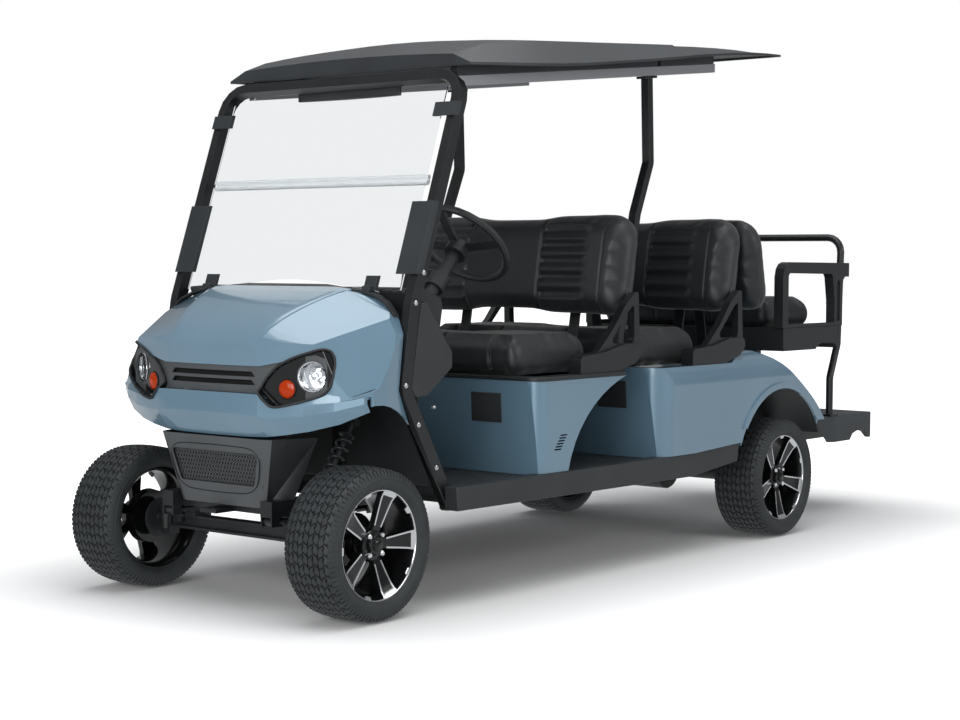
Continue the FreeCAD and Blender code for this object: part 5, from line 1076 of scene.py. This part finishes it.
def mesh_tile(x, z):
    """One square of the pressed mesh with its eight-sided hole, leaning with the fascia."""
    square, ring = [], []
    for a in turns(8, 0.5):
        c, s = math.cos(a), math.sin(a)
        for outline, r in ((square, MESH_CELL / 2 / max(abs(c), abs(s))), (ring, MESH_CELL * 0.36)):
            outline.append((x + c * r, z + s * r))
    return loft([[(u, fascia_y(w) + 0.0084 + back, w) for u, w in points]
                 for points, back in ((square, 0.0), (ring, 0.0), (ring, 0.0022))], False)


def darken_fascia_sides():
    """The fascia's side walls are black: a thin skin over those faces."""
    sides = baked(bpy.data.objects["lower_fascia_skin"])
    bm = bmesh.new()
    bm.from_mesh(sides)
    bm.normal_update()
    bmesh.ops.delete(bm, geom=[f for f in bm.faces if abs(f.normal.x) < 0.45], context="FACES")
    for v in bm.verts:
        v.co += v.normal * 0.0005
    bm.to_mesh(sides)
    bm.free()
    settled("lower_fascia_sides", sides, BLACK, "chassis", 62, False)


def wall(y_at, z0, z1, half):
    """An upright plate 3 mm thick whose face follows y_at(z)."""
    return slab([(y_at(z) + d, z) for d, zs in ((0, (z0, z1)), (0.003, (z1, z0))) for z in zs], -half, half)


def make_grille():
    tiles = [mesh_tile((k - (MESH_CELLS - 1 - odd) / 2) * MESH_CELL, MESH_LOW + odd * MESH_CELL)
             for odd in (0, 1) for k in range(MESH_CELLS - odd)]
    rise = 2 * MESH_CELL
    values = {"Count": MESH_ROWS, "Step": (0, -FASCIA_LEAN * rise, rise)}
    repeated("grille_mesh", merged(tiles), ROW_TREE, values, NOSE_GREY, "chassis")
    # Painted shade: near-black plates behind the grille mesh, behind the nose slots and behind the joint between band
    # and fascia, where the inside of the nose shows only shade.
    painted_shade_plates = [wall(lambda z: fascia_y(z) + 0.017, 0.392, 0.524, 0.196), wall(lambda z: NOSE_BACK, 0.702, 0.772, 0.205),
              block(-0.262, 0.262, -1.706, -1.703, 0.52, 0.68)]
    fixed("nose_shades", merged(painted_shade_plates), SHADE)
    # Painted shade: a thin near-black bar round the grille, where its frame meets the fascia in a shaded groove.
    outline = rounded_loop(((-0.212, 0.517), (0.0, 0.521), (0.212, 0.517), (0.178, 0.372), (0.0, 0.366),
                            (-0.178, 0.372)), 3)
    line = [(x, fascia_y(z) - 0.0002 + 0.02 * max(0.0, abs(x) - 0.155), z) for x, z in outline]
    fixed("fascia_frame_line", pipe(line, 0.0016, 8, True), SHADE, 60)


make_gap_strips()
cut_lamp_places()
make_bezels()
darken_fascia_sides()
make_grille()


# ------ floor mat
MAT_TOP, RIB_PITCH, RIB_COLUMNS = 0.38, 0.024, 45


def make_mat_ribs():
    """Raised lozenges on the floor rubber, where feet stand."""
    tiles = []
    for k in range(RIB_COLUMNS):
        slant = 1 if k % 2 else -1
        along, across = Vector((0.7, 0.7 * slant, 0)) * 0.0105, Vector((-0.7 * slant, 0.7, 0)) * 0.0032
        middle = Vector(((k - (RIB_COLUMNS - 1) / 2) * RIB_PITCH, 0, MAT_TOP - 0.0002))
        foot = [middle - along, middle - across, middle + along, middle + across]
        tiles.append(([*foot, middle + Vector((0, 0, 0.0019))], [(0, 1, 4), (1, 2, 4), (2, 3, 4), (3, 0, 4)]))
    for label, start, rows in (("front", -1.268, 17), ("second", -0.312, 8)):
        row = [([v + Vector((0, start, 0)) for v in verts], faces) for verts, faces in tiles]
        repeated(f"mat_ribs_{label}", merged(row), ROW_TREE, {"Count": rows, "Step": (0, RIB_PITCH, 0)}, MAT, "chassis",
                 20)


make_mat_ribs()


# ------ rear wheel arches
def make_arch_liners():
    """Dark moulded liners inside the rear fenders: a curved roof and the wall behind the wheel."""
    y0, z0, radius, inner, outer = REAR_Y - 0.008, 0.254, 0.3445, 0.381, 0.6095
    angles = [math.radians(a) for a in range(25, 147, 3)]
    arc, under = [[(y0 + r * math.cos(a), z0 + r * math.sin(a)) for a in angles] for r in (radius, radius - 0.0015)]
    liners = both_sides(slab(arc + under[::-1], inner, outer), slab(arc, inner - 0.0008, inner))
    fixed("rear_arch_liners", liners, BLACK, 30)


make_arch_liners()


# ------ bolts on the struts and plates
def bolt(place, radius=0.0085, head=0.006):
    """A round-headed bolt that looks outwards."""
    return turned(Vector(place), Vector((1, 0, 0)), [(-0.002, radius), (head * 0.45, radius),
                                                     (head * 0.85, radius * 0.72), (head, radius * 0.3),
                                                     (head, 0.0005)], 16)


def make_bolts():
    heads = [bolt((0.5512, y, z)) for y, z in ((-1.432, 0.972), (-1.478, 0.716), (-1.417, 0.59), (-1.33, 0.448),
                                               (-1.262, 0.34), (-1.394, 1.066))]
    heads += [bolt((0.53, y, z), 0.007, 0.01) for y, z in ((-1.366, 0.7), (-1.322, 0.64))]
    heads += [bolt((0.4714, y, z), 0.007) for y, z in ((-0.1905, 0.735), (-0.183, 0.8))]
    fixed("strut_bolts", both_sides(*heads), BOLT, 30)


make_bolts()

# ------ floor, light and world
FLOOR_HALF = 40.0
# Painted light and shade: for the camera the floor glows white outside a box round the cart, rising over a distance,
# and stays a painted grey shade near it.
SHADE_BOX, WHITE_OVER = (0.45, 1.55, 0), 1.8


def blank_tree(owner):
    """The empty node tree of a material or world."""
    owner.use_nodes = True
    owner.node_tree.nodes.clear()
    return owner.node_tree


def ray_kinds(tree, *kinds):
    """The light path node and a factor that is one for rays of either kind."""
    path = add(tree, "ShaderNodeLightPath")
    return path, flow(tree, "ShaderNodeMath", operation="MAXIMUM", i0=path.outputs[kinds[0]],
                      i1=path.outputs[kinds[1]])


def make_floor():
    corners = [(x * FLOOR_HALF, y * FLOOR_HALF, 0) for x, y in ((-1, -1), (1, -1), (1, 1), (-1, 1))]
    mesh = raw_mesh("studio_floor", (corners, [(0, 1, 2, 3)]))
    material = bpy.data.materials.new("pale_studio_floor")
    tree = blank_tree(material)
    path, seen = ray_kinds(tree, "Is Glossy Ray", "Is Transmission Ray")
    diffuse = flow(tree, "ShaderNodeBsdfDiffuse", Color=(0.72, 0.72, 0.72, 1))
    # For the camera the floor glows whiter away from the cart; near it the glow is almost nil, a painted shade on top
    # of the real shadow.
    where = add(tree, "ShaderNodeTexCoord").outputs["Object"]
    flat = flow(tree, "ShaderNodeVectorMath", operation="ABSOLUTE", i0=where)
    past = flow(tree, "ShaderNodeVectorMath", operation="SUBTRACT", i0=flat, i1=SHADE_BOX)
    past = flow(tree, "ShaderNodeVectorMath", operation="MAXIMUM", i0=past, i1=(0, 0, 0))
    away = add(tree, "ShaderNodeVectorMath", operation="LENGTH", i0=past).outputs["Value"]
    ramp = flow(tree, "ShaderNodeMapRange", interpolation_type="SMOOTHSTEP", Value=away, From_Min=0.0,
                From_Max=WHITE_OVER, To_Min=0.02, To_Max=1.0)
    painted_light_away_from_cart = flow(tree, "ShaderNodeEmission", Color=(1, 1, 1, 1), Strength=ramp)
    lit = flow(tree, "ShaderNodeAddShader", i0=diffuse, i1=painted_light_away_from_cart)
    shown = flow(tree, "ShaderNodeMixShader", Fac=path.outputs["Is Camera Ray"], i1=diffuse, i2=lit)
    bright = flow(tree, "ShaderNodeEmission", Color=(0.62, 0.63, 0.64, 1), Strength=1.0)
    mixed = flow(tree, "ShaderNodeMixShader", Fac=seen, i1=shown, i2=bright)
    add(tree, "ShaderNodeOutputMaterial", Surface=mixed)
    mesh.materials.append(material)
    floor = linked("studio_floor", mesh)


def make_world():
    world = bpy.data.worlds.new("studio")
    SCENE.world = world
    tree = blank_tree(world)
    _, seen = ray_kinds(tree, "Is Camera Ray", "Is Transmission Ray")
    white = flow(tree, "ShaderNodeBackground", Color=(1, 1, 1, 1), Strength=1.0)
    where = add(tree, "ShaderNodeTexCoord").outputs["Generated"]
    height = add(tree, "ShaderNodeSeparateXYZ", Vector=where).outputs["Z"]
    ramp = add(tree, "ShaderNodeValToRGB", Fac=height)
    low, high = ramp.color_ramp.elements
    low.color, high.color = (0.3, 0.3, 0.31, 1), (0.85, 0.87, 0.9, 1)
    soft = flow(tree, "ShaderNodeBackground", Color=ramp.outputs["Color"], Strength=0.55)
    mixed = flow(tree, "ShaderNodeMixShader", Fac=seen, i1=soft, i2=white)
    add(tree, "ShaderNodeOutputWorld", Surface=mixed)


def add_softbox(name, place, target, width, height, power):
    data = bpy.data.lights.new(name, "AREA")
    data.shape, data.size, data.size_y, data.energy = "RECTANGLE", width, height, power
    lamp = linked(name, data)
    lamp.location = place
    lamp.rotation_euler = (Vector(target) - Vector(place)).to_track_quat("-Z", "Y").to_euler()


make_floor()
make_world()
add_softbox("overhead_softbox", (0.5, -0.5, 5.5), (0, 0, 0.6), 6.0, 6.0, 260)
add_softbox("front_softbox", (1.5, -7.5, 2.4), (0, -0.5, 0.7), 4.0, 2.5, 160)
add_softbox("side_softbox", (7.0, 0.8, 3.0), (0, 0.2, 0.7), 5.0, 2.5, 120)
add_softbox("low_fill_softbox", (3.6, -6.6, 1.2), (0, -0.3, 0.7), 3.0, 1.8, 95)
